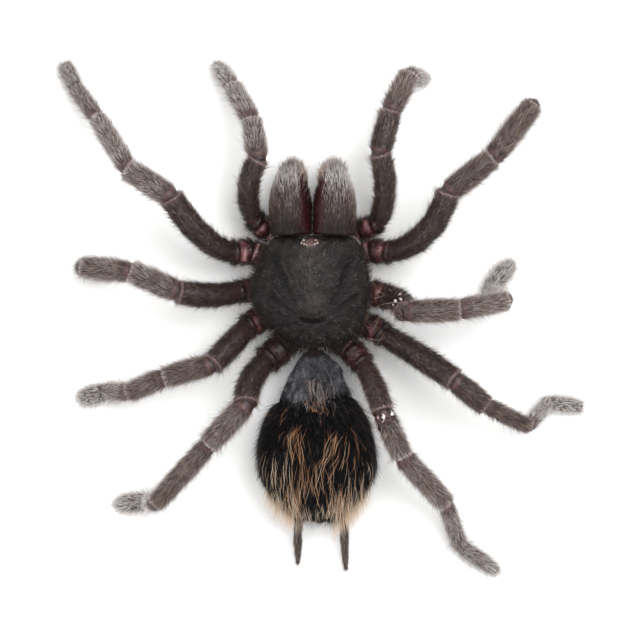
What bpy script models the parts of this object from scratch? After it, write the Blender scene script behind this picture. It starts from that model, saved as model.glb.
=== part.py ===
"""A dried tarantula, spread and set with its legs out, as it comes off the setting board.

The animal stands on its ten feet. Every hardened piece of the body is one solid: the carapace, the
sternum, the two chelicerae with their fangs, the abdomen, the two long spinnerets, and for each palp
and leg the base (coxa and trochanter), femur, patella, tibia and foot. Each solid reaches the tips of
the short fur that covers the piece. +Y points to the head, +X to the animal's right, +Z up, and the
origin is under the middle of the specimen, on the surface that it stands on.
"""

from math import cos, exp, pi, radians, sin

import bmesh
import bpy
from mathutils import Vector

MM = 0.001  # every size below is in millimetres
JOINT_GAP = 0.3  # between two neighbouring pieces
LIMB_SIDES = 10
BOW_RINGS = (0.0, 0.12, 0.36, 0.64, 0.88, 1.0)  # where a bone has a ring, from its start to its end
TIP_RINGS = (0.12, 0.35, 0.62, 0.82, 0.94, 1.0)  # the same for the last bone, which ends in a blunt tip

# Radius of each bone at its start, at its middle and at its end.
BONE_RADII = {
    "coxa": (1.65, 2.05, 2.15),
    "trochanter": (2.1, 2.3, 1.9),
    "femur": (1.8, 2.15, 2.0),
    "patella": (1.85, 2.1, 1.75),
    "tibia": (1.65, 1.8, 1.55),
    "metatarsus": (1.45, 1.5, 1.4),
    "tarsus": (1.4, 1.55, 1.5),
}
LEG_BONES = ("coxa", "trochanter", "femur", "patella", "tibia", "metatarsus", "tarsus")
PALP_BONES = ("coxa", "trochanter", "femur", "patella", "tibia", "tarsus")
# The pieces of a limb, each with the bones that it holds.
LEG_PIECES = {
    "base": ("coxa", "trochanter"),
    "femur": ("femur",),
    "patella": ("patella",),
    "tibia": ("tibia",),
    "foot": ("metatarsus", "tarsus"),
}
PALP_PIECES = {**LEG_PIECES, "foot": ("tarsus",)}

# Where the joints of each limb lie, from the body outwards: the inner end of the coxa, then the outer
# end of each bone. bow is how far the middle of the femur stands off the straight line.
LIMBS = {
    "palp_left": {
        "joints": [
            (-2.9, 12.8, 3.7), (-7.6, 16.0, 3.9), (-10.1, 18.0, 5.4), (-9.4, 28.8, 11.0),
            (-10.6, 35.9, 9.2), (-14.0, 41.9, 4.2), (-16.9, 46.2, 0.8),
        ],
        "bow": (-1.5, 0.0, 0.6),
        "girth": {"coxa": 0.85, "trochanter": 0.9, "femur": 0.88, "patella": 0.92, "tarsus": 1.08},
    },
    "palp_right": {
        "joints": [
            (2.7, 12.8, 3.7), (8.5, 15.9, 3.9), (12.1, 17.4, 5.4), (12.4, 29.7, 11.2),
            (14.3, 37.3, 10.4), (17.7, 44.1, 8.0), (20.8, 43.7, 0.9),
        ],
        "bow": (1.2, 0.0, 0.6),
        "girth": {"coxa": 0.83, "trochanter": 0.88, "femur": 0.9, "patella": 0.95, "tibia": 1.08},
    },
    "leg_1_left": {
        "joints": [
            (-4.7, 9.4, 4.6), (-10.8, 12.3, 5.4), (-14.0, 12.1, 6.6), (-24.8, 21.8, 13.2),
            (-32.6, 27.0, 12.0), (-38.3, 36.2, 6.8), (-42.5, 41.8, 1.8), (-44.9, 46.9, 0.8),
        ],
        "bow": (0.0, -2.0, 0.8),
        "girth": {"patella": 1.02},
    },
    "leg_1_right": {
        "joints": [
            (4.4, 9.4, 4.6), (10.6, 12.5, 5.4), (14.3, 12.2, 6.6), (24.6, 22.7, 13.2),
            (32.4, 28.8, 12.8), (39.9, 38.5, 10.4), (38.8, 37.1, 1.8), (35.2, 32.4, 0.8),
        ],
        "bow": (1.2, -2.0, 0.8),
        "girth": {"coxa": 0.88, "trochanter": 0.95, "tibia": 1.08},
    },
    "leg_2_left": {
        "joints": [
            (-5.1, 5.1, 4.6), (-10.7, 5.4, 5.4), (-13.2, 5.0, 6.6), (-23.6, 5.0, 13.0),
            (-32.0, 8.6, 12.2), (-40.9, 9.5, 10.0), (-40.2, 9.2, 1.8), (-35.2, 8.8, 0.8),
        ],
        "bow": (0.0, -0.6, 0.8),
        "girth": {"coxa": 0.9, "trochanter": 0.9, "tibia": 1.08},
    },
    "leg_2_right": {
        "joints": [
            (4.9, 5.1, 4.6), (11.1, 5.0, 5.4), (14.0, 4.0, 6.8), (17.0, 1.5, 14.4),
            (26.5, 1.8, 13.2), (35.2, 3.5, 10.4), (32.4, 5.3, 1.9), (36.5, 10.7, 0.9),
        ],
        "bow": (0.3, 0.6, 0.0),
        "girth": {"femur": 1.0, "tibia": 1.08, "tarsus": 1.15},
    },
    "leg_3_left": {
        "joints": [
            (-4.7, 0.9, 4.6), (-8.9, 0.2, 5.2), (-11.4, -1.2, 6.3), (-17.5, -7.9, 12.2),
            (-26.1, -10.3, 11.0), (-32.4, -13.0, 6.6), (-36.8, -13.0, 1.9), (-42.0, -14.3, 0.8),
        ],
        "bow": (0.3, 0.1, 0.6),
        "girth": {"patella": 0.95, "metatarsus": 1.1, "tarsus": 1.15},
    },
    "leg_3_right": {
        "joints": [
            (4.9, 0.9, 4.6), (10.2, -0.9, 5.2), (13.2, -2.7, 6.5), (25.6, -10.7, 12.0),
            (31.3, -15.3, 10.4), (39.3, -19.2, 6.0), (43.0, -14.9, 1.7), (49.8, -15.9, 0.8),
        ],
        "bow": (0.3, 0.1, 0.8),
        "girth": {"patella": 0.95, "tibia": 0.82, "metatarsus": 0.88, "tarsus": 0.92},
    },
    "leg_4_left": {
        "joints": [
            (-3.0, -2.5, 4.6), (-5.2, -4.9, 5.4), (-7.8, -7.2, 6.6), (-11.5, -14.9, 13.4),
            (-18.2, -22.3, 12.4), (-27.8, -33.0, 7.4), (-29.4, -32.9, 1.8), (-35.4, -33.4, 0.8),
        ],
        "bow": (-1.0, 0.2, 0.4),
        "girth": {"coxa": 1.15, "trochanter": 1.15, "patella": 1.02, "metatarsus": 1.1, "tarsus": 1.15},
    },
    "leg_4_right": {
        "joints": [
            (3.4, -2.5, 4.6), (7.0, -5.0, 5.4), (9.4, -7.9, 6.6), (12.9, -16.5, 13.2),
            (16.4, -24.4, 11.6), (24.3, -33.0, 7.0), (27.1, -41.0, 1.8), (33.6, -45.5, 0.8),
        ],
        "bow": (0.3, 0.2, 0.4),
        "girth": {"femur": 0.92, "patella": 0.96, "tibia": 1.08},
    },
}

# The carapace seen from above: (y, left edge, right edge), from its front to its back.
CARAPACE_EDGE = [
    (15.2, -4.4, 5.4),
    (14.9, -7.0, 8.0),
    (13.0, -7.9, 9.2),
    (10.4, -9.1, 9.8),
    (8.3, -10.1, 10.3),
    (6.2, -10.8, 10.6),
    (4.0, -10.7, 10.6),
    (1.9, -9.8, 10.2),
    (-0.1, -8.2, 9.5),
    (-1.9, -6.3, 8.4),
    (-3.4, -4.2, 6.8),
    (-4.6, -2.0, 4.6),
    (-4.9, -0.3, 2.6),
]
CARAPACE_CENTRE = (0.2, 4.6)
CARAPACE_RIM = (7.95, 8.6)  # underside and top of the edge
CARAPACE_RISE = 4.4
CARAPACE_ROUNDNESS = 2.6  # the higher, the flatter its top and the steeper its edge
BROW_ROUNDNESS = 10.0  # the same in front, where the head ends in a steep brow
BROW = (9.0, 14.0)  # y where the brow's shape starts and where it is complete
HEAD_RISE = 1.1
EYE_MOUND = (-0.2, 13.6)
EYE_MOUND_HALF = (1.7, 1.1)
EYE_MOUND_RISE = 0.7
FOVEA = (0.5, -0.3)
FOVEA_HALF = (2.2, 0.6)
FOVEA_DEPTH = 0.9
CARAPACE_LOOPS = (0.0, 0.05, 0.14, 0.28, 0.42, 0.56, 0.69, 0.8, 0.9, 0.97)  # from its edge inwards

# Abdomen: (y, middle x, half width, underside, top) from the waist to the tail.
ABDOMEN = [
    (-4.4, 0.4, 1.0, 5.0, 7.0),
    (-6.0, 0.6, 1.4, 4.8, 7.4),
    (-6.8, 0.7, 3.0, 4.2, 8.6),
    (-8.6, 0.8, 4.5, 3.2, 9.6),
    (-11.4, 0.9, 5.7, 1.8, 11.0),
    (-14.8, 1.0, 7.4, 0.7, 13.0),
    (-18.6, 1.0, 9.7, 0.2, 14.8),
    (-22.8, 1.0, 10.8, 0.15, 15.8),
    (-26.6, 1.1, 10.7, 0.15, 15.6),
    (-30.2, 1.2, 9.3, 0.6, 14.0),
    (-33.0, 1.2, 7.2, 1.7, 11.4),
    (-34.9, 1.3, 4.6, 3.2, 8.6),
]
ABDOMEN_SIDES = 20
ABDOMEN_SQUARENESS = 2.3

# Chelicera: (y, inner side, outer side, underside, top) from its root to its front, as distances from
# the middle line between the two.
CHELICERAE = [
    (15.5, 0.3, 7.6, 5.9, 11.9),
    (17.6, 0.3, 7.75, 5.1, 12.7),
    (20.6, 0.35, 7.7, 4.3, 13.0),
    (23.2, 0.6, 7.3, 3.9, 12.4),
    (25.4, 0.95, 6.6, 4.1, 11.1),
    (27.0, 1.6, 5.6, 4.9, 9.2),
    (27.6, 2.5, 4.7, 5.9, 7.9),
]
CHELICERA_SIDES = 14
CHELICERA_SQUARENESS = 2.6
CHELICERA_MIDDLE = 0.4
LEFT_ROLL = 0.16  # how far the left one leans over, so that its inner face shows from above

FANG_ROOT = (3.5, 25.7, 2.6)
FANG_REACH = 6.8  # how far back its tip lies
FANG_SAG = 0.9
FANG_RADIUS = 0.8
FANG_TAPER = 0.86  # share of the radius lost at its tip
FANG_RINGS = 7
FANG_SIDES = 8

STERNUM_CENTRE = (0.0, 4.4)
STERNUM_HALF = (3.8, 6.4)
STERNUM_LEVELS = (2.9, 3.5, 4.3)
STERNUM_SHARES = (0.6, 1.0, 0.92)  # of the half sizes, at each level
STERNUM_SIDES = 20

SPINNERET_RADII = (0.85, 0.9, 0.8, 0.55)
SPINNERETS = {
    "spinneret_left": [(-2.1, -35.9, 3.4), (-2.3, -38.3, 2.9), (-2.3, -41.0, 2.2), (-2.3, -43.5, 1.6)],
    "spinneret_right": [(6.0, -35.4, 3.4), (6.1, -38.4, 2.9), (6.2, -41.8, 2.2), (6.4, -44.7, 1.6)],
}
SPINNERET_SIDES = 10

# Colour, roughness and metallic value of each kind of piece.
FINISHES = {
    "limb": ((0.10, 0.075, 0.068), 0.75, 0.0),
    "foot": ((0.27, 0.25, 0.25), 0.8, 0.0),
    "base": ((0.14, 0.045, 0.042), 0.35, 0.0),
    "shield": ((0.055, 0.05, 0.047), 0.55, 0.0),
    "chelicera": ((0.16, 0.13, 0.125), 0.7, 0.0),
    "fang": ((0.012, 0.008, 0.007), 0.15, 0.0),
    "abdomen": ((0.02, 0.018, 0.018), 0.85, 0.0),
    "spinneret": ((0.09, 0.06, 0.045), 0.75, 0.0),
}


def clear_scene():
    for obj in list(bpy.data.objects):
        bpy.data.objects.remove(obj)


def finish_material(kind):
    """The material of this kind of piece, made once."""
    found = bpy.data.materials.get(kind)
    if found:
        return found
    colour, roughness, metallic = FINISHES[kind]
    material = bpy.data.materials.new(kind)
    material.use_nodes = True
    shader = material.node_tree.nodes["Principled BSDF"]
    shader.inputs["Base Color"].default_value = (*colour, 1.0)
    shader.inputs["Roughness"].default_value = roughness
    shader.inputs["Metallic"].default_value = metallic
    return material


def add_object(name, bm, kind):
    """Makes an object of a closed bmesh whose points are in millimetres."""
    bmesh.ops.scale(bm, vec=(MM, MM, MM), verts=bm.verts)
    bmesh.ops.recalc_face_normals(bm, faces=bm.faces)
    mesh = bpy.data.meshes.new(name)
    bm.to_mesh(mesh)
    bm.free()
    mesh.shade_smooth()
    mesh.set_sharp_from_angle(angle=radians(50))
    mesh.materials.append(finish_material(kind))
    obj = bpy.data.objects.new(name, mesh)
    bpy.context.scene.collection.objects.link(obj)
    return obj


def loft(rings):
    """A closed bmesh through rings of points, in order, with a flat face on the first and the last."""
    bm = bmesh.new()
    loops = [[bm.verts.new(point) for point in ring] for ring in rings]
    for near, far in zip(loops, loops[1:]):
        for i in range(len(near)):
            j = (i + 1) % len(near)
            bm.faces.new((near[i], near[j], far[j], far[i]))
    bm.faces.new(loops[0])
    bm.faces.new(list(reversed(loops[-1])))
    return bm


def superellipse(count, exponent):
    """Points (u, v) round a unit superellipse. The exponent 2 gives a circle."""
    points = []
    for i in range(count):
        c, s = cos(2 * pi * i / count), sin(2 * pi * i / count)
        u = abs(c) ** (2 / exponent) * (1 if c > 0 else -1)
        v = abs(s) ** (2 / exponent) * (1 if s > 0 else -1)
        points.append((u, v))
    return points


# --- Limbs -------------------------------------------------------------------------------------


class Bone:
    """One bone of a limb: its middle line, which may be bowed, and its thickness."""

    def __init__(self, kind, start, end, bow, girth):
        self.kind = kind
        self.start = Vector(start)
        self.end = Vector(end)
        self.bow = Vector(bow)
        self.radii = [radius * girth for radius in BONE_RADII[kind]]

    def centre(self, s):
        return self.start.lerp(self.end, s) + self.bow * (4 * s * (1 - s))

    def direction(self, s):
        return (self.end - self.start + self.bow * (4 - 8 * s)).normalized()

    def radius(self, s, blunt):
        """The bone swells between its ends. A blunt bone's last third closes like an egg."""
        near, middle, far = self.radii
        swell = middle - (near + far) / 2
        radius = near + (far - near) * s + swell * (1 - abs(2 * s - 1) ** 3)
        over = max(0.0, (s - 0.6) / 0.4)
        return radius * (1 - 0.8 * over**2) ** 0.5 if blunt else radius


def limb_bones(limb, kinds):
    bones = []
    for kind, start, end in zip(kinds, limb["joints"], limb["joints"][1:]):
        bow = limb["bow"] if kind == "femur" else (0, 0, 0)
        bones.append(Bone(kind, start, end, bow, limb["girth"].get(kind, 1.0)))
    return bones


def joint_normals(bones):
    """The mitre plane's normal at each joint: half way between the two bones that meet there."""
    normals = [bones[0].direction(0)]
    for near, far in zip(bones, bones[1:]):
        normals.append((near.direction(1) + far.direction(0)).normalized())
    normals.append(bones[-1].direction(1))
    return normals


def slide_to_plane(point, along, at, normal):
    """How far the point must move along the bone to lie on the mitre plane."""
    return (at - point).dot(normal) / along.dot(normal)


def bone_rings(bone, side, planes, steps, blunt):
    """Rings round a bone, from mitre plane to mitre plane, and the side vector at its end."""
    rings = []
    (start_at, start_normal), (end_at, end_normal) = planes
    before = bone.direction(0)
    for s in steps:
        along = bone.direction(s)
        side = before.rotation_difference(along) @ side
        before = along
        up = along.cross(side)
        ring = []
        for i in range(LIMB_SIDES):
            angle = 2 * pi * i / LIMB_SIDES
            offset = side * cos(angle) + up * sin(angle)
            near_slide = slide_to_plane(
                bone.start + offset * bone.radii[0], bone.direction(0), start_at, start_normal
            )
            far_slide = slide_to_plane(
                bone.end + offset * bone.radii[2], bone.direction(1), end_at, end_normal
            )
            shift = near_slide * (1 - s) ** 2 + (0 if blunt else far_slide * s**2)
            ring.append(bone.centre(s) + offset * bone.radius(s, blunt) + along * shift)
        rings.append(ring)
    return rings, side


def stand_on_surface(bm):
    """Cuts off flat what reaches below the surface that the specimen stands on."""
    everything = bm.verts[:] + bm.edges[:] + bm.faces[:]
    bmesh.ops.bisect_plane(
        bm, geom=everything, plane_co=(0, 0, 0), plane_no=(0, 0, 1), clear_inner=True
    )
    rim = [edge for edge in bm.edges if edge.is_boundary]
    if rim:
        bmesh.ops.holes_fill(bm, edges=rim, sides=0)


def build_limb(name, limb):
    """The pieces of one palp or leg, from the body outwards."""
    is_leg = name.startswith("leg")
    bones = limb_bones(limb, LEG_BONES if is_leg else PALP_BONES)
    normals = joint_normals(bones)
    side = bones[0].direction(0).cross(Vector((0, 0, 1))).normalized()
    index = 0
    for part, kinds in (LEG_PIECES if is_leg else PALP_PIECES).items():
        rings = []
        last = index + len(kinds) - 1
        for k in range(index, last + 1):
            near_gap = normals[k] * (JOINT_GAP / 2 if k == index and k > 0 else 0)
            far_gap = normals[k + 1] * (JOINT_GAP / 2 if k == last else 0)
            planes = (
                (bones[k].start + near_gap, normals[k]),
                (bones[k].end - far_gap, normals[k + 1]),
            )
            blunt = k == len(bones) - 1
            steps = (0.0, *TIP_RINGS) if blunt else BOW_RINGS
            if k > 0:
                side = bones[k - 1].direction(1).rotation_difference(bones[k].direction(0)) @ side
            made, side = bone_rings(bones[k], side, planes, steps, blunt)
            rings += made[1:] if k > index else made
        bm = loft(rings)
        if part == "foot":
            stand_on_surface(bm)
        add_object(f"{name}_{part}", bm, part if part in ("base", "foot") else "limb")
        index = last + 1


# --- Body --------------------------------------------------------------------------------------


def hump(x, y, centre, half):
    return exp(-(((x - centre[0]) / half[0]) ** 2) - ((y - centre[1]) / half[1]) ** 2)


def carapace_top(x, y, out):
    """Height of the carapace's upper side. out is 0 at its middle and 1 on its edge."""
    brow = min(1.0, max(0.0, (y - BROW[0]) / (BROW[1] - BROW[0])))
    roundness = CARAPACE_ROUNDNESS + (BROW_ROUNDNESS - CARAPACE_ROUNDNESS) * brow
    dome = CARAPACE_RISE * (1 - out**roundness) ** 0.7
    head = HEAD_RISE * exp(-((x / 5.0) ** 2)) * min(1.0, max(0.0, (y - 1) / 8)) * (1 - out**6)
    eyes = EYE_MOUND_RISE * hump(x, y, EYE_MOUND, EYE_MOUND_HALF)
    # The fovea is a short cross slit whose ends turn forwards.
    curve = FOVEA[1] + 0.12 * (x - FOVEA[0]) ** 2
    pit = FOVEA_DEPTH * hump(x, y, (FOVEA[0], curve), FOVEA_HALF)
    return CARAPACE_RIM[1] + dome + head + eyes - pit


def build_carapace():
    left = [(x, y) for y, x, _ in CARAPACE_EDGE]
    right = [(x, y) for y, _, x in CARAPACE_EDGE]
    edge = left + right[::-1]
    rings = [[(x, y, CARAPACE_RIM[0]) for x, y in edge]]
    for inwards in CARAPACE_LOOPS:
        out = 1 - inwards
        ring = []
        for x, y in edge:
            x = CARAPACE_CENTRE[0] + (x - CARAPACE_CENTRE[0]) * out
            y = CARAPACE_CENTRE[1] + (y - CARAPACE_CENTRE[1]) * out
            ring.append((x, y, carapace_top(x, y, out)))
        rings.append(ring)
    add_object("carapace", loft(rings), "shield")


def build_abdomen():
    shape = superellipse(ABDOMEN_SIDES, ABDOMEN_SQUARENESS)
    rings = []
    for y, middle, half_width, low, high in ABDOMEN:
        centre, half_height = (low + high) / 2, (high - low) / 2
        rings.append([(middle + u * half_width, y, centre + v * half_height) for u, v in shape])
    add_object("abdomen", loft(rings), "abdomen")


def build_chelicera(side):
    """side is -1 for the left and 1 for the right."""
    shape = superellipse(CHELICERA_SIDES, CHELICERA_SQUARENESS)
    rings = []
    for y, inner, outer, low, high in CHELICERAE:
        middle, half_width = (inner + outer) / 2, (outer - inner) / 2
        centre, half_height = (low + high) / 2, (high - low) / 2
        ring = []
        for u, v in shape:
            lean = LEFT_ROLL * half_width * max(0.0, v) * (1 if side < 0 else 0)
            squeeze = 1 - LEFT_ROLL * max(0.0, v) if side < 0 else 1
            x = side * (middle + u * half_width * squeeze + lean) + CHELICERA_MIDDLE
            ring.append((x, y, centre + v * half_height))
        rings.append(ring)
    name = "chelicera_left" if side < 0 else "chelicera_right"
    add_object(name, loft(rings), "chelicera")


def build_fang(side):
    """A tapering hook that lies folded back under the chelicera."""
    root_x, root_y, root_z = FANG_ROOT
    rings = []
    for k in range(FANG_RINGS):
        s = k / (FANG_RINGS - 1)
        centre = Vector((side * root_x + CHELICERA_MIDDLE, root_y, root_z))
        centre += Vector((0, -FANG_REACH * s, -4 * FANG_SAG * s * (1 - s)))
        along = Vector((0, -FANG_REACH, -4 * FANG_SAG * (1 - 2 * s))).normalized()
        across = Vector((1, 0, 0))
        up = across.cross(along)
        radius = FANG_RADIUS * (1 - FANG_TAPER * s**1.3)
        ring = []
        for i in range(FANG_SIDES):
            angle = 2 * pi * i / FANG_SIDES
            ring.append(centre + (across * cos(angle) + up * sin(angle)) * radius)
        rings.append(ring)
    add_object("fang_left" if side < 0 else "fang_right", loft(rings), "fang")


def build_sternum():
    """The heart-shaped plate between the leg bases, slightly domed downwards."""
    rings = []
    for level, share in zip(STERNUM_LEVELS, STERNUM_SHARES):
        ring = []
        for i in range(STERNUM_SIDES):
            angle = 2 * pi * i / STERNUM_SIDES
            x = STERNUM_HALF[0] * cos(angle) * (1 + 0.1 * sin(angle))
            y = STERNUM_HALF[1] * sin(angle)
            ring.append((STERNUM_CENTRE[0] + x * share, STERNUM_CENTRE[1] + y * share, level))
        rings.append(ring)
    add_object("sternum", loft(rings), "base")


def build_spinneret(name, points):
    """A jointed finger, one ring at each of its joints and a round tip."""
    line = [Vector(point) for point in points]
    tip = line[-1] + (line[-1] - line[-2]).normalized() * SPINNERET_RADII[-1]
    rings = []
    for centre, radius in [*zip(line, SPINNERET_RADII), (tip, SPINNERET_RADII[-1] * 0.4)]:
        ring = []
        for i in range(SPINNERET_SIDES):
            angle = 2 * pi * i / SPINNERET_SIDES
            ring.append(centre + Vector((cos(angle) * radius, 0, sin(angle) * radius)))
        rings.append(ring)
    add_object(name, loft(rings), "spinneret")


def centre_on_origin():
    """Moves every mesh so that the origin is under the middle of the specimen."""
    points = [v.co for obj in bpy.data.objects for v in obj.data.vertices]
    middle = [(min(p[k] for p in points) + max(p[k] for p in points)) / 2 for k in (0, 1)]
    shift = Vector((-middle[0], -middle[1], 0))
    for obj in bpy.data.objects:
        for vertex in obj.data.vertices:
            vertex.co += shift


def main():
    clear_scene()
    build_carapace()
    build_sternum()
    build_abdomen()
    for side in (-1, 1):
        build_chelicera(side)
        build_fang(side)
    for name, points in SPINNERETS.items():
        build_spinneret(name, points)
    for name, limb in LIMBS.items():
        build_limb(name, limb)
    centre_on_origin()


main()
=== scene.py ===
"""The looks of a dried, spread tarantula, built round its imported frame.

Every piece of the frame gets a skin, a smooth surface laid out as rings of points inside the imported
solid, and a coat of mesh hairs that fills the rest of the solid. Lengths are in millimetres until a
mesh is made; +Y points to the head and +X to the animal's right. A tone from 0 to 1 picks a colour
from a material's ramp, and a pair (low, high) is a range that random numbers are drawn from.
"""

import zlib
from math import cos, pi, sin

import bpy
import numpy as np
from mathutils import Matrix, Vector, noise
from mathutils.bvhtree import BVHTree


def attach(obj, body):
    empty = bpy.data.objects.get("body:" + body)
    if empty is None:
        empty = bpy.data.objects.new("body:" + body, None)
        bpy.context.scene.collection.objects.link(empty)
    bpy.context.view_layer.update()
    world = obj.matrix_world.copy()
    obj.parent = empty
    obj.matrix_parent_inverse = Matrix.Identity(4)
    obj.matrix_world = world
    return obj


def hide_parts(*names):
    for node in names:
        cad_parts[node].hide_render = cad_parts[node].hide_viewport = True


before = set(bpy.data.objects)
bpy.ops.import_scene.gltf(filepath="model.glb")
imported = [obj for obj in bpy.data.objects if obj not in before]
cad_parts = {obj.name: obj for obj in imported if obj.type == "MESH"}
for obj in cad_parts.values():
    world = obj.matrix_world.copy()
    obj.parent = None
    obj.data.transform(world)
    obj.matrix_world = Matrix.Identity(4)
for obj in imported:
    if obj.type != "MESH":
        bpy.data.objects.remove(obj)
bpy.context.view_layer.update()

MM = 0.001
UP = np.array([0.0, 0.0, 1.0])
BACKWARDS = np.array([0.0, -1.0, 0.0])
TINY = 1e-9
SKY = 40.0  # a height well above the animal

# Where each kind of surface lies on a piece's bake map: (low u, high u).
SKIN_STRIP = (0.01, 0.78)
HAIR_STRIP = (0.81, 0.89)
BRISTLE_STRIP = (0.91, 0.99)
MAP_EDGE = 0.01
CAP_ON_MAP, POLE_ON_MAP = 0.04, 0.03  # what a skin's end gets there, and how much of it is used
HAIR_ON_MAP = 0.004  # half the width of one hair there
STAGGER_ON_MAP = 0.015  # how far one edge of a hair is moved along there
FLOOR_GAP = 0.08  # hairs bend so as to stay this far above the floor
SUNK = 0.06  # how deep the roots of a dense coat are under its skin

PARTS = ("base", "femur", "patella", "tibia", "foot")
LIMB_RING = 10  # points in the ring at each end of a limb's solid
# For each limb: how much bare, glossy cuticle its base shows, and how pale the fur is on its femur,
# patella, tibia and foot.
LIMBS = {
    "palp_left": (0.9, 0.27, 0.75, 0.82, 1.05),
    "palp_right": (1.0, 0.33, 0.38, 0.64, 0.90),
    "leg_1_left": (1.0, 0.26, 0.74, 0.82, 0.81),
    "leg_1_right": (1.0, 0.26, 0.52, 0.53, 0.53),
    "leg_2_left": (0.6, 0.20, 0.68, 0.66, 0.59),
    "leg_2_right": (0.9, 0.24, 0.62, 0.74, 1.02),
    "leg_3_left": (0.8, 0.24, 0.56, 0.60, 0.86),
    "leg_3_right": (0.9, 0.24, 0.41, 0.48, 1.00),
    "leg_4_left": (0.0, 0.24, 0.67, 0.58, 1.05),
    "leg_4_right": (0.75, 0.38, 0.66, 0.69, 0.86),
}
# Pieces whose fur is rubbed off along the top, as far as this from their start.
RUBBED = {"leg_4_right_patella": 3.4, "leg_2_right_femur": 3.0, "leg_4_right_femur": 2.0}


# --- Numbers ---


def unit(vectors):
    lengths = np.linalg.norm(vectors, axis=-1, keepdims=True)
    return vectors / np.maximum(lengths, TINY)


def rise(x, start, span):
    """0 up to the start, then rising smoothly to 1 over the span."""
    t = np.clip((x - start) / span, 0.0, 1.0)
    return t * t * (3 - 2 * t)


def hill(x, middle, half):
    return np.exp(-(((x - middle) / half) ** 2))


def hills(x, shapes):
    """The sum of hills, each given by its height, middle and half width."""
    return sum(height * hill(x, middle, half) for height, middle, half in shapes)


def smoothed(field, passes, wrap):
    """The field averaged with its neighbours along its first axis, which is closed if wrap is true."""
    for _ in range(passes):
        before, after = np.roll(field, 1, axis=0), np.roll(field, -1, axis=0)
        if not wrap:
            before[0], after[-1] = field[0], field[-1]
        field = (before + 2 * field + after) / 4
    return field


def rough(points, size, seed=0.0):
    """Smooth noise from -1 to 1 at each point, with lumps of about that size."""
    flat = points.reshape(-1, 3) / size + seed
    return np.array([noise.noise(Vector(p)) for p in flat]).reshape(points.shape[:-1])


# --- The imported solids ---

FLAT = 0.02  # points nearer than this to a plane lie in it


class Solid:
    """A node of the frame: its points, with doubled ones joined, and its triangles."""

    def __init__(self, name):
        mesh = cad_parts[name].data
        raw = np.empty(len(mesh.vertices) * 3, np.float32)
        mesh.vertices.foreach_get("co", raw)
        mesh.calc_loop_triangles()
        faces = np.empty(len(mesh.loop_triangles) * 3, np.int32)
        mesh.loop_triangles.foreach_get("vertices", faces)
        places = np.round(raw.reshape(-1, 3) / MM, 3)
        self.points, index = np.unique(places, axis=0, return_inverse=True)
        self.faces = index.reshape(-1)[faces].reshape(-1, 3)
        self.tree = BVHTree.FromPolygons(self.points.tolist(), self.faces.tolist())
        self.low, self.high = self.points.min(axis=0), self.points.max(axis=0)

    def ring_near(self, others, count=LIMB_RING):
        """The points of this solid that are nearest to those of another one."""
        gaps = np.linalg.norm(self.points[:, None] - others[None], axis=2).min(axis=1)
        return np.argsort(gaps)[:count]

    def front_face(self):
        return np.flatnonzero(self.points[:, 1] > self.high[1] - FLAT)

    def back_face(self):
        return np.flatnonzero(self.points[:, 1] < self.low[1] + FLAT)

    def middle_line(self, start):
        """Centres of the solid's rings of points, one after another from the ring given."""
        fresh_level, pad_level = -1, -2
        level = np.full(len(self.points), fresh_level)
        level[self.points[:, 2] < FLAT] = pad_level  # the flat pad, which is no ring
        level[start] = 0
        centres = [ring_centre(self.points[start])]
        step = 0
        while True:
            touched = self.faces[(level[self.faces] == step).any(axis=1)]
            fresh = np.unique(touched[level[touched] == fresh_level])
            if not len(fresh):
                return np.array(centres)
            step += 1
            level[fresh] = step
            centres.append(ring_centre(self.points[fresh]))

    def reach(self, origin, direction, far):
        """How far the surface is from a point inside it, along a direction."""
        hit = self.tree.ray_cast(Vector(origin), Vector(direction), far)
        return np.nan if hit[3] is None else hit[3]


def ring_centre(ring):
    """Centre of the circle that the points of a ring lie on, where some of them may be cut off."""
    middle = ring.mean(axis=0)
    if len(ring) < 5:
        return middle
    arms = ring - middle
    squares = (arms**2).sum(axis=1)
    return middle + np.linalg.lstsq(2 * arms, squares - squares.mean(), rcond=0.1)[0]


# --- Skins ---


class Skin:
    """A closed surface of rings of points, (rings, points in a ring, 3), from its root to its tip.

    p and q are how far its rings are from the two ends of its line, where it has one.
    """

    def __init__(self, rings, p=None):
        self.rings = rings
        around = np.roll(rings, -1, axis=1) - np.roll(rings, 1, axis=1)
        along = np.gradient(rings, axis=0)
        self.normals = unit(np.cross(around, along))
        self.flow = unit(along)
        self.up = self.normals[:, :, 2]
        self.top = np.clip(self.up, 0, 1)
        self.flank = 1 - np.abs(self.up)
        self.tone = np.zeros(rings.shape[:2])
        steps = np.linalg.norm(np.diff(rings.mean(axis=1), axis=0), axis=1)
        travelled = np.linalg.norm(np.diff(rings, axis=0), axis=2).mean(axis=1)
        self.depth = np.concatenate([[0], np.cumsum(np.maximum(steps, travelled))])
        if p is not None:
            self.p, self.q = p, p[-1] - p

    def areas(self, weight=1.0):
        """The area of each cell of the surface, times the weight."""
        sides = np.roll(self.rings, -1, axis=1) - self.rings
        areas = np.linalg.norm(np.cross(sides[:-1], np.diff(self.rings, axis=0)), axis=2)
        return areas * (weight[:-1] if np.ndim(weight) else weight)

    def numbers(self):
        return np.arange(self.tone.size).reshape(self.tone.shape)

    def tree(self):
        faces = quads_between(self.numbers())
        return BVHTree.FromPolygons(self.rings.reshape(-1, 3).tolist(), faces.tolist())


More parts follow.
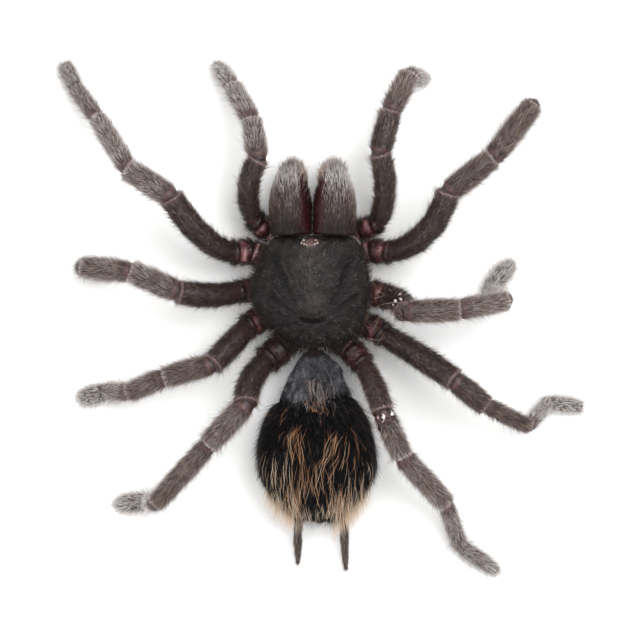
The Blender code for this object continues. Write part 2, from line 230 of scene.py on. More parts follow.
class Spots:
    """Random places on a skin, even over its area times the weight, and what it is like there."""

    def __init__(self, skin, count, rng, weight=1.0):
        areas = skin.areas(weight)
        cells = rng.choice(areas.size, count, p=(areas / areas.sum()).ravel())
        k, i = np.divmod(cells, areas.shape[1])
        self.ring, self.point = k + rng.random(count), i + rng.random(count)
        self.skin, self.rng = skin, rng
        self.roots = self.read(skin.rings)
        self.normals = unit(self.read(skin.normals))
        self.flow = unit(self.read(skin.flow))

    def read(self, field):
        """The values of a field of the skin."""
        k, i = self.ring, self.point
        k0, i0 = k.astype(int), i.astype(int)
        k1, i1 = np.minimum(k0 + 1, len(field) - 1), (i0 + 1) % field.shape[1]
        i0 = i0 % field.shape[1]
        a, b = k - k0, i - np.floor(i)
        if field.ndim == 3:
            a, b = a[:, None], b[:, None]
        near = field[k0, i0] * (1 - b) + field[k0, i1] * b
        far = field[k1, i0] * (1 - b) + field[k1, i1] * b
        return near * (1 - a) + far * a

    def travelled(self):
        """How far the places are from the two ends of the skin's line."""
        p = self.skin.p
        here = np.interp(self.ring, np.arange(len(p)), p)
        return here, p[-1] - here

    def aim(self, flow, lift, back=0.0, mess=0.0):
        """Directions by shares of the flow, off the surface and backwards, scattered by mess."""
        if isinstance(lift, tuple):
            lift = self.rng.uniform(*lift, len(self.ring))[:, None]
        ways = self.flow * flow + self.normals * lift + BACKWARDS * back
        return unit(ways + self.rng.normal(0, mess, ways.shape) if mess else ways)


def quads_between(index):
    """Quads over a grid of point numbers that is closed along its second axis."""
    right = np.roll(index, -1, axis=1)
    corners = [index[:-1], right[:-1], right[1:], index[1:]]
    return np.stack([c.ravel() for c in corners], axis=1)


def drop_onto(tree, xs, ys):
    """The places on a surface straight below the points given, leaving out those that miss it."""
    hits = [tree.ray_cast(Vector((x, y, SKY)), Vector(-UP))[0] for x, y in zip(xs, ys)]
    return np.array([hit for hit in hits if hit is not None])


ROUNDING = 3  # how many times the corners of a line are rounded


def resampled(line, count):
    """The line with its points spread evenly and its corners rounded, and its length."""
    gone = np.concatenate([[0], np.cumsum(np.linalg.norm(np.diff(line, axis=0), axis=1))])
    even = np.linspace(0, gone[-1], count)
    fine = np.stack([np.interp(even, gone, line[:, axis]) for axis in range(3)], axis=1)
    ends = fine[[0, -1]].copy()
    for _ in range(ROUNDING):
        fine = smoothed(fine, 1, wrap=False)
        fine[0], fine[-1] = ends
    return fine, gone[-1]


def sections(line):
    """Unit vectors across the line at each of its points: to one side and, mostly, upwards."""
    tangents = unit(np.gradient(line, axis=0))
    aside = np.cross(UP, tangents[0])
    side = unit(aside) if np.linalg.norm(aside) > 0.1 else np.array([1.0, 0.0, 0.0])
    sides = []
    for tangent in tangents:
        side = unit(side - tangent * side.dot(tangent))
        sides.append(side)
    sides = np.array(sides)
    return tangents, sides, np.cross(tangents, sides)


CAP_TURNS = (0.45, 0.95, 1.4)  # how far round a cap its rings are
CAP_RINGS = len(CAP_TURNS)
UNEVEN, UNEVEN_SIZE = 0.05, 2.2  # how far a skin strays, and how large its lumps are
WIDEST = 1.5  # the most a skin's radius may be, times the usual one in its ring


def tube_skin(solid, line, rings, sides, under, ends, far, profile=None, bulges=(0.35, 0.35)):
    """The skin of a long piece, laid under the solid's surface by the coat's depth.

    ends are the distances at the two ends where the solid's shape is not read, because its faces are
    cut off there to meet its neighbours. profile(p, q) scales the radius, from the distances to them.
    bulges are how far the two rounded ends stand out, as shares of the radius.
    """
    line, length = resampled(line, rings)
    tangents, across, upwards = sections(line)
    angles = (2 * pi * np.arange(sides) / sides)[None, :, None]
    spokes = across[:, None] * np.cos(angles) + upwards[:, None] * np.sin(angles)
    p = np.linspace(0, length, rings)
    q = length - p
    radius = np.full((rings, sides), np.nan)
    read = np.flatnonzero((p >= ends[0]) & (q >= ends[1]))
    for k in read:
        found = np.array([solid.reach(line[k], spoke, far) for spoke in spokes[k]])
        usual = np.nanmedian(found)
        radius[k] = np.where(np.isnan(found), usual, np.minimum(found, WIDEST * usual))
    radius[: read[0]] = radius[read[0]]
    radius[read[-1] + 1 :] = radius[read[-1]]
    radius = smoothed(smoothed(radius.T, 3, wrap=True).T, 2, wrap=False) - under
    if profile is not None:
        radius = radius * profile(p, q)[:, None]
    skin = line[:, None] + spokes * radius[:, :, None]
    uneven = rough(skin, UNEVEN_SIZE) * UNEVEN
    skin = closed_ends(skin + spokes * uneven[:, :, None], tangents, radius, bulges)
    skin[:, :, 2] = np.maximum(skin[:, :, 2], FLOOR_GAP)
    return Skin(skin, np.concatenate([np.zeros(CAP_RINGS), p, np.full(CAP_RINGS, length)]))


def closed_ends(rings, tangents, radius, bulges):
    """The rings with smaller ones before the first and after the last, which round off the ends."""
    caps = []
    for end, sign, share in ((0, -1, bulges[0]), (-1, 1, bulges[1])):
        middle = rings[end].mean(axis=0)
        bulge = sign * tangents[end] * radius[end].mean() * share
        caps.append([middle + (rings[end] - middle) * cos(t) + bulge * sin(t) for t in CAP_TURNS])
    return np.concatenate([caps[0][::-1], rings, caps[1]])


def ball_rings(rows, columns, pole):
    """Rings over a unit ball from its bottom to its top, the first and last at an angle to a pole."""
    turns = np.linspace(pole, pi - pole, rows)[:, None]
    angles = 2 * pi * np.arange(columns) / columns
    x, y = np.sin(turns) * np.cos(angles), np.sin(turns) * np.sin(angles)
    return np.stack([x, y, np.broadcast_to(-np.cos(turns), x.shape)], axis=2)


# --- Hairs ---


def straight(roots, headings, lengths):
    """One straight hair from each root."""
    return np.stack([roots, roots + headings * lengths[:, None]], axis=1)


def curved(roots, headings, lengths, sag, steps=2):
    """Hairs that bend steadily towards the sag vectors."""
    t = np.linspace(0, 1, steps + 1)[None, :, None]
    reach = lengths[:, None, None]
    return roots[:, None] + headings[:, None] * reach * t + sag[:, None] * reach * t**2


COMB_RISE = 1.6  # how much faster than its length a combed hair gains its height


def combed(tree, roots, goals, lengths, heights, steps):
    """Hairs that lie along a surface towards their goals, rising to their heights above it."""
    paths = np.empty((len(roots), steps + 1, 3))
    paths[:, 0] = roots
    for h in range(len(roots)):
        place = roots[h]
        for j in range(1, steps + 1):
            place = place + unit(goals[h] - place) * lengths[h] / steps
            near, normal, _, _ = tree.find_nearest(Vector(place))
            near, normal = np.array(near), np.array(normal)
            wanted = heights[h] * min(1.0, COMB_RISE * j / steps)
            place = place + normal * max(0.0, wanted - (place - near).dot(normal))
            paths[h, j] = place
    return paths


HAIR_ANGLES = (0, 2 * pi / 3, 4 * pi / 3)  # where the three edges of a hair are
SIDES = [(0, 1), (1, 2), (2, 0)]  # the edges beside each of its sides
HAIR_POINT = 0.75  # how much thinner it is at its tip
COARSE = ("tan_hair", "bristle")  # materials that have a strip of the bake map to themselves


class Build:
    """Collects the surfaces of one piece, from its skin on, and makes its mesh."""

    def __init__(self, name, skin=None, material=None):
        self.name = name
        self.rng = np.random.default_rng(zlib.crc32(name.encode()))
        self.materials = []
        self.chunks = []
        self.count = 0
        if skin is not None:
            self.add_skin(skin, material)

    def add(self, material, points, faces, uv, tone, along):
        """faces and uv are lists of arrays with one row for each face, of three or four corners."""
        if material not in self.materials:
            self.materials.append(material)
        slot = self.materials.index(material)
        faces = [f + self.count for f in faces]
        self.chunks.append((slot, points, faces, uv, tone, along))
        self.count += len(points)

    def add_skin(self, skin, material):
        index = skin.numbers()
        size, n = index.size, index.shape[1]
        points = np.concatenate([skin.rings.reshape(-1, 3), skin.rings[[0, -1]].mean(axis=1)])
        fans = [
            np.stack([np.roll(index[0], -1), index[0], np.full(n, size)], axis=1),
            np.stack([index[-1], np.roll(index[-1], -1), np.full(n, size + 1)], axis=1),
        ]
        low, high = SKIN_STRIP
        u = low + (high - low) * np.arange(n + 1) / n
        along = skin.depth / skin.depth[-1]
        v = MAP_EDGE + (1 - 2 * MAP_EDGE) * (CAP_ON_MAP + (1 - 2 * CAP_ON_MAP) * along)
        u, v = [g.T for g in np.meshgrid(u, v, indexing="ij")]
        grid = np.stack([u, v], axis=2)
        quads = [grid[:-1, :-1], grid[:-1, 1:], grid[1:, 1:], grid[1:, :-1]]
        quad_uv = np.stack([corner.reshape(-1, 2) for corner in quads], axis=1)
        fan_uv = []
        for row, order, drop in ((grid[0], (1, 0), -POLE_ON_MAP), (grid[-1], (0, 1), POLE_ON_MAP)):
            edges = (row[:-1], row[1:])
            middle = (row[:-1] + row[1:]) / 2 + [0, drop]
            fan_uv.append(np.stack([edges[order[0]], edges[order[1]], middle], axis=1))
        tone = np.concatenate([skin.tone.ravel(), skin.tone[[0, -1]].mean(axis=1)])
        along = np.concatenate([np.repeat(along, n), [0, 1]])
        self.add(material, points, [quads_between(index), *fans], [quad_uv, *fan_uv], tone, along)

    def drawn(self, values, count):
        """The values themselves, or random ones from a range."""
        return self.rng.uniform(*values, count) if isinstance(values, tuple) else values

    def add_hairs(self, paths, material, widths, tones):
        """Tapered three-sided hairs along paths (hairs, points in a path, 3)."""
        count, rows = paths.shape[:2]
        widths = self.drawn(widths, count)
        tones = np.clip(self.drawn(tones, count), 0.0, 1.0)
        paths = paths.copy()
        paths[:, :, 2] = np.maximum(paths[:, :, 2], FLOOR_GAP)
        tangents = unit(np.gradient(paths, axis=1))
        any_way = self.rng.normal(size=(count, 1, 3))
        side = unit(np.cross(tangents, np.broadcast_to(any_way, tangents.shape)))
        other = np.cross(tangents, side)
        t = np.linspace(0, 1, rows)
        taper = ((1 - HAIR_POINT * t**1.5) * widths[:, None] / 2)[:, :, None]
        corners = [paths + (side * cos(a) + other * sin(a)) * taper for a in HAIR_ANGLES]
        body = np.stack(corners, axis=2)[:, :-1]
        points = np.concatenate([body.reshape(count, -1, 3), paths[:, -1:]], axis=1)
        each = points.shape[1]
        low, high = BRISTLE_STRIP if material in COARSE else HAIR_STRIP
        middle = (low + HAIR_ON_MAP + (high - low - 2 * HAIR_ON_MAP) * tones)[:, None]
        v_of = MAP_EDGE + (1 - 2 * MAP_EDGE) * t

        def corner(row, i):
            """A point's number in its hair, and its place on the map."""
            return row * 3 + i, HAIR_ON_MAP * (-1, 1, 0)[i], v_of[row] + (0, 0, STAGGER_ON_MAP)[i]

        tip = (each - 1, 0.0, v_of[-1])
        outlines = [
            [corner(row, i), corner(row, j), corner(row + 1, j), corner(row + 1, i)]
            for row in range(rows - 2)
            for i, j in SIDES
        ]
        outlines += [[corner(rows - 2, i), corner(rows - 2, j), tip] for i, j in SIDES]
        outlines.append([corner(0, 2), corner(0, 1), corner(0, 0)])
        faces, uvs = [], []
        for outline in outlines:
            number, u, v = np.array(outline).T
            faces.append(np.arange(count)[:, None] * each + number.astype(int))
            uvs.append(np.stack([middle + u, np.broadcast_to(v, (count, len(v)))], axis=2))
        along = np.tile(np.concatenate([np.repeat(t[:-1], 3), [1.0]]), count)
        self.add(material, points.reshape(-1, 3), faces, uvs, np.repeat(tones, each), along)

    def grow(self, skin, count, weight, material, aim, mess, lengths, tones, widths, bend=None):
        """Hairs of one kind, drawn from ranges.

        aim and bend are shares of the skin's flow, off its surface and backwards.
        """
        spots = Spots(skin, count, self.rng, weight)
        headings = spots.aim(*aim, mess)
        lengths = self.rng.uniform(*lengths, count)
        tones = self.rng.uniform(*tones, count)
        if bend is None:
            paths = straight(spots.roots, headings, lengths)
        else:
            sag = spots.flow * bend[0] + spots.normals * bend[1] + BACKWARDS * bend[2]
            paths = curved(spots.roots, headings, lengths, sag)
        self.add_hairs(paths, material, widths, tones)

    def finish(self, slot, *nodes):
        """Makes the object, which rides on the body and stands for the nodes."""
        mesh = bpy.data.meshes.new(self.name)
        points = np.concatenate([c[1] for c in self.chunks]) * MM
        faces = [f for c in self.chunks for f in c[2]]
        slots = [np.full(len(f), c[0]) for c in self.chunks for f in c[2]]
        corners = np.concatenate([f.ravel() for f in faces])
        sizes = np.concatenate([np.full(len(f), f.shape[1]) for f in faces])
        starts = np.concatenate([[0], np.cumsum(sizes)[:-1]])
        mesh.vertices.add(len(points))
        mesh.loops.add(len(corners))
        mesh.polygons.add(len(sizes))
        mesh.vertices.foreach_set("co", points.astype(np.float32).ravel())
        mesh.loops.foreach_set("vertex_index", corners.astype(np.int32))
        mesh.polygons.foreach_set("loop_start", starts.astype(np.int32))
        mesh.polygons.foreach_set("material_index", np.concatenate(slots).astype(np.int32))
        mesh.polygons.foreach_set("use_smooth", np.ones(len(sizes), bool))
        uv = np.concatenate([u.reshape(-1, 2) for c in self.chunks for u in c[3]])
        layer = mesh.uv_layers.new(name="OFBake")
        layer.data.foreach_set("uv", uv.astype(np.float32).ravel())
        for label, column in (("tone", 4), ("along", 5)):
            values = np.concatenate([c[column] for c in self.chunks]).astype(np.float32)
            attribute = mesh.attributes.new(label, "FLOAT", "POINT")
            attribute.data.foreach_set("value", values)
        for material in self.materials:
            mesh.materials.append(MATERIALS[material])
        mesh.update(calc_edges=True)
        mesh.validate()
        piece = bpy.data.objects.new(self.name, mesh)
        bpy.context.scene.collection.objects.link(piece)
        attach(piece, "root")
        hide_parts(*nodes)
        return piece



# --- Materials ---


def attribute(tree, name):
    node = tree.nodes.new("ShaderNodeAttribute")
    node.attribute_name = name
    return node.outputs["Fac"]


def ramp(tree, value, stops):
    """A colour ramp over (position, colour) stops."""
    node = tree.nodes.new("ShaderNodeValToRGB")
    elements = node.color_ramp.elements
    while len(elements) < len(stops):
        elements.new(0.5)
    for element, (position, colour) in zip(elements, stops):
        element.position = position
        element.color = (*colour, 1.0)
    tree.links.new(value, node.inputs["Fac"])
    return node.outputs["Color"]


def lumps(tree, scale, detail=4.0, stretch=(1, 1, 1)):
    """Noise in object space, with that many lumps to a metre."""
    place = tree.nodes.new("ShaderNodeTexCoord")
    mapping = tree.nodes.new("ShaderNodeMapping")
    mapping.inputs["Scale"].default_value = stretch
    node = tree.nodes.new("ShaderNodeTexNoise")
    node.inputs["Scale"].default_value = scale
    node.inputs["Detail"].default_value = detail
    tree.links.new(place.outputs["Object"], mapping.inputs["Vector"])
    tree.links.new(mapping.outputs["Vector"], node.inputs["Vector"])
    return node.outputs["Fac"]


def mix(tree, kind, a, b, share=1.0):
    node = tree.nodes.new("ShaderNodeMix")
    node.data_type = "RGBA"
    node.blend_type = kind
    if isinstance(share, float):
        node.inputs["Factor"].default_value = share
    else:
        tree.links.new(share, node.inputs["Factor"])
    tree.links.new(a, node.inputs[6])
    tree.links.new(b, node.inputs[7])
    return node.outputs[2]


def new_material(name, roughness, specular=0.5, sheen=0.0, coat=0.0):
    material = bpy.data.materials.new(name)
    material.use_nodes = True
    tree = material.node_tree
    shader = tree.nodes["Principled BSDF"]
    shader.inputs["Roughness"].default_value = roughness
    shader.inputs["Specular IOR Level"].default_value = specular
    shader.inputs["Sheen Weight"].default_value = sheen
    shader.inputs["Sheen Roughness"].default_value = 0.4
    shader.inputs["Coat Weight"].default_value = coat
    shader.inputs["Coat Roughness"].default_value = 0.15
    return material, tree, shader


def grey(value):
    return (value, value, value)


def hair_material(name, stops, root_shade=0.55, roughness=0.6, specular=0.35):
    """Hair whose colour follows its tone, darker at its root."""
    material, tree, shader = new_material(name, roughness, specular)
    colour = ramp(tree, attribute(tree, "tone"), stops)
    shade = ramp(tree, attribute(tree, "along"), [(0.0, grey(root_shade)), (0.7, grey(1.0))])
    tree.links.new(mix(tree, "MULTIPLY", colour, shade), shader.inputs["Base Color"])
    return material


def skin_material(name, stops, roughness, scale, bump, mottle=0.5, coat=0.0, specular=0.5):
    """Cuticle whose colour follows its tone, mottled and finely pitted."""
    material, tree, shader = new_material(name, roughness, specular, coat=coat)
    colour = ramp(tree, attribute(tree, "tone"), stops)
    cloudy = ramp(tree, lumps(tree, scale), [(0.3, grey(1 - mottle)), (0.7, grey(1.0))])
    tree.links.new(mix(tree, "MULTIPLY", colour, cloudy), shader.inputs["Base Color"])
    pits = tree.nodes.new("ShaderNodeBump")
    pits.inputs["Strength"].default_value = bump
    pits.inputs["Distance"].default_value = 0.0002
    tree.links.new(lumps(tree, scale * 4, 3.0), pits.inputs["Height"])
    tree.links.new(pits.outputs["Normal"], shader.inputs["Normal"])
    return material

# Kinds of cuticle: the stops of their ramps, and what they are like.
SKIN_LOOKS = {
    "cuticle": (
        [(0.0, (0.010, 0.006, 0.005)), (0.45, (0.040, 0.018, 0.015)), (0.75, (0.11, 0.038, 0.035)),
         (1.0, (0.25, 0.20, 0.21))],
        dict(roughness=0.42, scale=900.0, bump=0.35),
    ),
    "joint": (
        [(0.0, (0.006, 0.003, 0.003)), (0.35, (0.045, 0.009, 0.010)), (0.65, (0.14, 0.040, 0.043)),
         (0.9, (0.48, 0.29, 0.28)), (1.0, (0.85, 0.80, 0.78))],
        dict(roughness=0.42, specular=0.35, scale=700.0, bump=0.3, coat=0.12),
    ),
    "shield": (
        [(0.0, (0.003, 0.0025, 0.002)), (0.4, (0.018, 0.015, 0.014)), (0.75, (0.075, 0.057, 0.053)),
         (1.0, (0.22, 0.10, 0.095))],
        dict(roughness=0.5, specular=0.2, scale=1100.0, bump=0.9, mottle=0.75),
    ),
    "jaw": (
        [(0.0, (0.022, 0.015, 0.014)), (0.5, (0.022, 0.006, 0.007)), (1.0, (0.034, 0.004, 0.006))],
        dict(roughness=0.45, specular=0.25, scale=600.0, bump=0.25),
    ),
    "fang": (
        [(0.0, (0.006, 0.004, 0.004)), (1.0, (0.045, 0.012, 0.008))],
        dict(roughness=0.12, scale=500.0, bump=0.05, mottle=0.3, coat=0.6),
    ),
    "belly": (
        [(0.0, (0.012, 0.010, 0.011)), (1.0, (0.06, 0.058, 0.066))],
        dict(roughness=0.8, scale=800.0, bump=0.5),
    ),
    "eye": (
        [(0.0, (0.01, 0.008, 0.008)), (1.0, (0.5, 0.42, 0.34))],
        dict(roughness=0.08, scale=900.0, bump=0.0, mottle=0.2, coat=1.0),
    ),
}
# Kinds of hair, likewise.
HAIR_LOOKS = {
    "hair": (
        [(0.0, (0.008, 0.0055, 0.005)), (0.25, (0.044, 0.029, 0.025)), (0.5, (0.20, 0.142, 0.126)),
         (0.75, (0.50, 0.415, 0.39)), (1.0, (0.93, 0.89, 0.865))],
        dict(specular=0.15),
    ),
    "tan_hair": (
        [(0.0, (0.05, 0.028, 0.020)), (0.5, (0.27, 0.165, 0.115)), (1.0, (0.72, 0.58, 0.46))],
        dict(),
    ),
    "velvet": (
        [(0.0, (0.006, 0.006, 0.008)), (0.5, (0.058, 0.058, 0.070)), (1.0, (0.33, 0.33, 0.38))],
        dict(root_shade=0.35, specular=0.15),
    ),
    "black_hair": (
        [(0.0, (0.003, 0.0025, 0.003)), (0.6, (0.010, 0.008, 0.009)), (1.0, (0.11, 0.095, 0.09))],
        dict(root_shade=0.5, roughness=0.55, specular=0.12),
    ),
    "bristle": (
        [(0.0, (0.30, 0.10, 0.045)), (0.45, (0.66, 0.33, 0.16)), (0.75, (0.74, 0.53, 0.36)),
         (1.0, (0.92, 0.80, 0.64))],
        dict(root_shade=0.35, roughness=0.45),
    ),
}
MATERIALS = {name: skin_material(name, stops, **look) for name, (stops, look) in SKIN_LOOKS.items()}
MATERIALS |= {name: hair_material(name, stops, **look) for name, (stops, look) in HAIR_LOOKS.items()}


# --- Limbs ---

# The fur of each part of a limb: hairs to a square millimetre, their length, and how much of the tan
# stripe along the back it has.
COATS = {
    "base": (16.0, 1.2, 0.0),
    "femur": (16.0, 1.3, 0.15),
    "patella": (18.0, 1.3, 0.5),
    "tibia": (18.0, 1.35, 1.0),
    "foot": (22.0, 1.15, 0.6),
}
BASE_TONE = 0.17  # of the fur of a base
BARE_TONE = 0.88  # the palest that bare cuticle gets
RIM_TONE = 0.95  # of the pale line round a joint
ANKLE_RING = 5  # the ring of a leg's foot where its metatarsus ends and its tarsus starts
TARSUS_FROST = 0.18
LIMB_ENDS = 1.3, 1.2  # lengths next to a limb's joints where its solid is cut off
WORN_EDGE = 0.8
# Hairs to a square millimetre, other than the short fur's.
SETAE, STRIPE_HAIRS, SHIELD_HAIRS, STERNUM_HAIRS = 2.6, 14.0, 17.0, 9.0
JAW_HAIRS, SPINNERET_HAIRS, VELVET_HAIRS = 24.0, 22.0, 26.0
# Raised and sunken rings, as (height, place, half width): on a base, from its end, where the coxa and
# the trochanter each end in a rim with a groove behind it; and the pale bands between them.
BASE_RINGS = ((0.05, 0.35, 0.28), (0.05, 3.0, 0.3), (-0.12, 1.0, 0.3), (-0.12, 3.6, 0.32))
BASE_BANDS = ((0.52, 1.6, 1.0), (0.95, 4.1, 0.38), (0.45, 5.6, 0.8))
ANKLE_RINGS = ((-0.12, 0.35, 0.4), (0.05, -0.3, 0.35))  # from the ankle
KNEE_RIM = ((0.07, 0.1, 0.35),)  # from the end of the other parts


def limb_profile(part, ankle):
    """Scale of a limb piece's radius, from the distances p to its start and q to its end."""

    def profile(p, q):
        if part == "base":
            return 1.0 + hills(q, BASE_RINGS)
        scale = 0.8 + 0.2 * rise(p, 0, 1.1)
        if ankle:
            scale = scale + hills(p - ankle, ANKLE_RINGS)
        return scale + (hills(q, KNEE_RIM) if part != "foot" else 0.0)

    return profile


def limb_line(solid, part, before, after):
    """The middle line of a limb piece, from the body outwards, reaching just into the piece before."""
    if before is None:
        line = solid.middle_line(solid.ring_near(after.points))[::-1]
    else:
        line = solid.middle_line(solid.ring_near(before.points))
    start = line[0] - unit(line[1] - line[0]) * (0.0 if before is None else 0.5)
    end = line[-1] + unit(line[-1] - line[-2]) * (0.0 if part == "foot" else 0.12)
    return np.concatenate([[start], line[1:-1], [end]])


def line_length(line):
    return np.linalg.norm(np.diff(line, axis=0), axis=1).sum()


def limb_skin(solid, part, line, ankle, bare, rubbed):
    length = line_length(line)
    profile = limb_profile(part, ankle)
    if part == "base":
        rings = int(length / 0.2)
        skin = tube_skin(solid, line, rings, 28, under=0.05, ends=LIMB_ENDS, far=3.2, profile=profile)
        bands = hills(skin.q, BASE_BANDS)
        tone = (0.08 + bands * (0.3 + 0.7 * bare))[:, None] + 0.3 * rough(skin.rings, 1.2)
        skin.tone[:] = np.minimum(tone, BARE_TONE)
        return skin
    rings = int(np.clip(length / 0.33, 22, 44))
    ends = (LIMB_ENDS[0], 0.3 if part == "foot" else LIMB_ENDS[1])
    skin = tube_skin(solid, line, rings, 24, under=0.08, ends=ends, far=3.4, profile=profile)
    skin.tone[:] = 0.3 + 0.15 * rough(skin.rings, 1.5) + 0.4 * hill(skin.p, 1.0, 0.45)[:, None]
    if rubbed:
        worn = rise(rubbed - skin.p, 0, WORN_EDGE)[:, None] * skin.top
        cracks = rough(skin.rings, 0.8, 4.0)
        skin.rings += skin.normals * (worn * 0.28 * cracks)[:, :, None]
        skin.tone += worn * (0.15 + 0.8 * np.clip(rough(skin.rings, 0.9, 8.0), -0.5, 0.6))
    if part != "foot":
        skin.tone[-CAP_RINGS - 1] = RIM_TONE
    if ankle:
        skin.tone[np.argmin(np.abs(skin.p - ankle + 0.1))] = RIM_TONE
    return skin


def room_ahead(here, ahead, part, ankle):
    """How far a hair may reach before it would cover the next joint."""
    room = ahead + (1.2 if part == "foot" else 0.4)
    if ankle:
        room = np.where(here < ankle, np.minimum(room, ankle - here + 0.3), room)
    return room


def fur_weight(skin, part, ankle, rubbed):
    """Where the short fur grows: thinly at joints, and hardly on bare cuticle."""
    p, q = skin.p[:, None], skin.q[:, None]
    if part == "base":
        return 1 - 0.93 * rise(skin.tone, 0.42, 0.2) * rise(skin.top, 0.3, 0.3)
    weight = rise(p, 0.35, 0.4) * (1 - 0.7 * skin.top * hill(p, 0.9, 0.35))
    if part != "foot":
        weight = weight * rise(q, 0.05, 0.25)
    if ankle:
        weight = weight * (1 - 0.85 * hill(p, ankle + 0.1, 0.22))
    if rubbed:
        weight = weight * (1 - 0.9 * skin.top * rise(rubbed - p, 0, WORN_EDGE))
    return weight


def fur_tones(spots, part, frost, ankle):
    """Patchy, paler before the next joint and darker behind a joint; paler on the flanks as a painted
    sheen, and darker below as painted shade.
    """
    here, ahead = spots.travelled()
    up = spots.normals[:, 2]
    patches = spots.read(rough(spots.skin.rings, 1.8, 5.0))
    strays = spots.rng.normal(0, 0.11, len(up))
    # Paler on the flanks: a painted sheen.
    tones = frost + 0.16 * patches + strays + 0.2 * (1 - np.abs(up)) ** 1.5 - 0.03
    # Darker below: painted shade.
    tones = tones - 0.16 * (up < -0.3)
    if part != "base":
        tones = tones - 0.14 * hill(here, 1.1, 0.7)
    if part not in ("base", "foot"):
        tones = tones + 0.24 * hill(ahead, 0.3, 0.8)
    if part == "femur":
        tones = tones - 0.08 + 0.16 * here / spots.skin.p[-1]
    if ankle:
        tones = tones + TARSUS_FROST * (rise(here, ankle, 0.8) - 0.5) + 0.12 * hill(here, ankle, 0.5)
    return tones


def coat_limb(build, skin, part, frost, ankle, rubbed):
    rng = build.rng
    density, length, stripe = COATS[part]
    weight = fur_weight(skin, part, ankle, rubbed)
    count = int(skin.areas(weight).sum() * density)
    spots = Spots(skin, count, rng, weight + TINY)
    headings = spots.aim(flow=1.0, lift=(0.3, 0.8), mess=0.2)
    tones = fur_tones(spots, part, frost, ankle)
    lengths = length * rng.uniform(0.6, 1.25, count)
    if part != "base":
        lengths = np.minimum(lengths, room_ahead(*spots.travelled(), part, ankle) / 0.85)
    paths = straight(spots.roots - spots.normals * SUNK, headings, np.maximum(lengths, 0.25))
    build.add_hairs(paths, "hair", widths=(0.06, 0.09), tones=tones)
    add_setae(build, skin, frost)
    if part != "base":
        add_stripe(build, skin, stripe, part, ankle)


def add_setae(build, skin, frost):
    """Long fine hairs that stand off all round."""
    weight = rise(skin.p, 0.6, 1.0)[:, None] * (1 - 0.8 * skin.top) + TINY
    count = int(skin.areas().sum() * SETAE)
    tones = (0.5 * frost + 0.1, 0.5 * frost + 0.5)
    build.grow(
        skin, count, weight, "hair", aim=(0.8, (0.5, 1.4), 0.0), mess=0.0,
        lengths=(1.2, 2.5), tones=tones, widths=(0.035, 0.05),
    )


def add_stripe(build, skin, stripe, part, ankle):
    """Tan hairs that lie along the back."""
    rng = build.rng
    dorsal = np.clip(skin.up - 0.5, 0, 1) * rise(skin.p, 1.0, 1.0)[:, None]
    dorsal = dorsal * np.clip(0.45 + 1.3 * rough(skin.rings, 1.5, 2.0), 0.02, 1)
    count = int(skin.areas(dorsal).sum() * STRIPE_HAIRS * stripe) + 3
    spots = Spots(skin, count, rng, dorsal + TINY)
    headings = spots.aim(flow=1.0, lift=0.55, mess=0.16)
    room = room_ahead(*spots.travelled(), part, ankle)
    lengths = np.maximum(np.minimum(rng.uniform(1.1, 2.0, count), room), 0.3)
    paths = curved(spots.roots, headings, lengths, -spots.normals * 0.1)
    build.add_hairs(paths, "tan_hair", tones=rng.uniform(0.15, 0.95, count), widths=(0.05, 0.075))


# Where dried skin has broken up: on which piece, how far along it, how many flakes and how pale. The
# dark flakes are dried skin; the pale ones are painted highlights, the glints on the shiny broken
# skin.
FLAKES_AND_GLINTS = [
    ("leg_4_right_patella", (0.2, 2.8), 16, 0.1),
    # Pale flakes: painted highlights.
    ("leg_4_right_patella", (0.0, 1.6), 7, 0.95),
    ("leg_2_right_base", (0.5, 2.6), 6, 0.15),
    # Pale flakes: painted highlights.
    ("leg_2_right_femur", (5.4, 8.0), 4, 1.0),
    ("leg_3_right_base", (2.0, 5.0), 5, 0.1),
]
FLAKE_ROWS, FLAKE_COLUMNS = 6, 9
FLAKE_SIZES = (0.14, 0.5)
# Damaged bases, and how many pale bristles stand up there.
TUFTS = {"leg_2_right_base": 26, "leg_3_right_base": 44, "leg_2_right_femur": 26}


def add_flakes_and_glints(build, skin, span, count, tone):
    """Small lumps, each a closed pebble half sunk in the surface: dark ones of dried skin, pale ones
    painted highlights.
    """
    rng = build.rng
    inside = (skin.p > span[0]) & (skin.p < span[1])
    weight = inside[:, None] * np.clip(skin.up - 0.2, 0, 1)
    for root in Spots(skin, count, rng, weight + TINY).roots:
        axes = np.linalg.qr(rng.normal(size=(3, 3)))[0] * rng.uniform(*FLAKE_SIZES, 3)[:, None]
        dents = rng.uniform(0.85, 1.15, (FLAKE_ROWS, FLAKE_COLUMNS, 1))
        rings = root + (ball_rings(FLAKE_ROWS, FLAKE_COLUMNS, 0.15) * dents) @ axes
        flake = Skin(rings if np.linalg.det(axes) > 0 else rings[::-1])
        flake.tone[:] = tone + rng.uniform(-0.1, 0.1)
        build.add_skin(flake, "joint")


def add_tuft(build, skin, count):
    """Pale bristles that stand up in all directions from a damaged base."""
    rng = build.rng
    spots = Spots(skin, count, rng, np.clip(skin.up - 0.2, 0, 1) + TINY)
    headings = spots.aim(flow=0.0, lift=0.6, mess=0.7)
    bends = rng.normal(0, 0.3, (count, 3))
    paths = curved(spots.roots, headings, rng.uniform(1.4, 4.0, count), bends, steps=3)
    build.add_hairs(paths, "tan_hair", tones=rng.uniform(0.4, 1.0, count), widths=(0.055, 0.085))


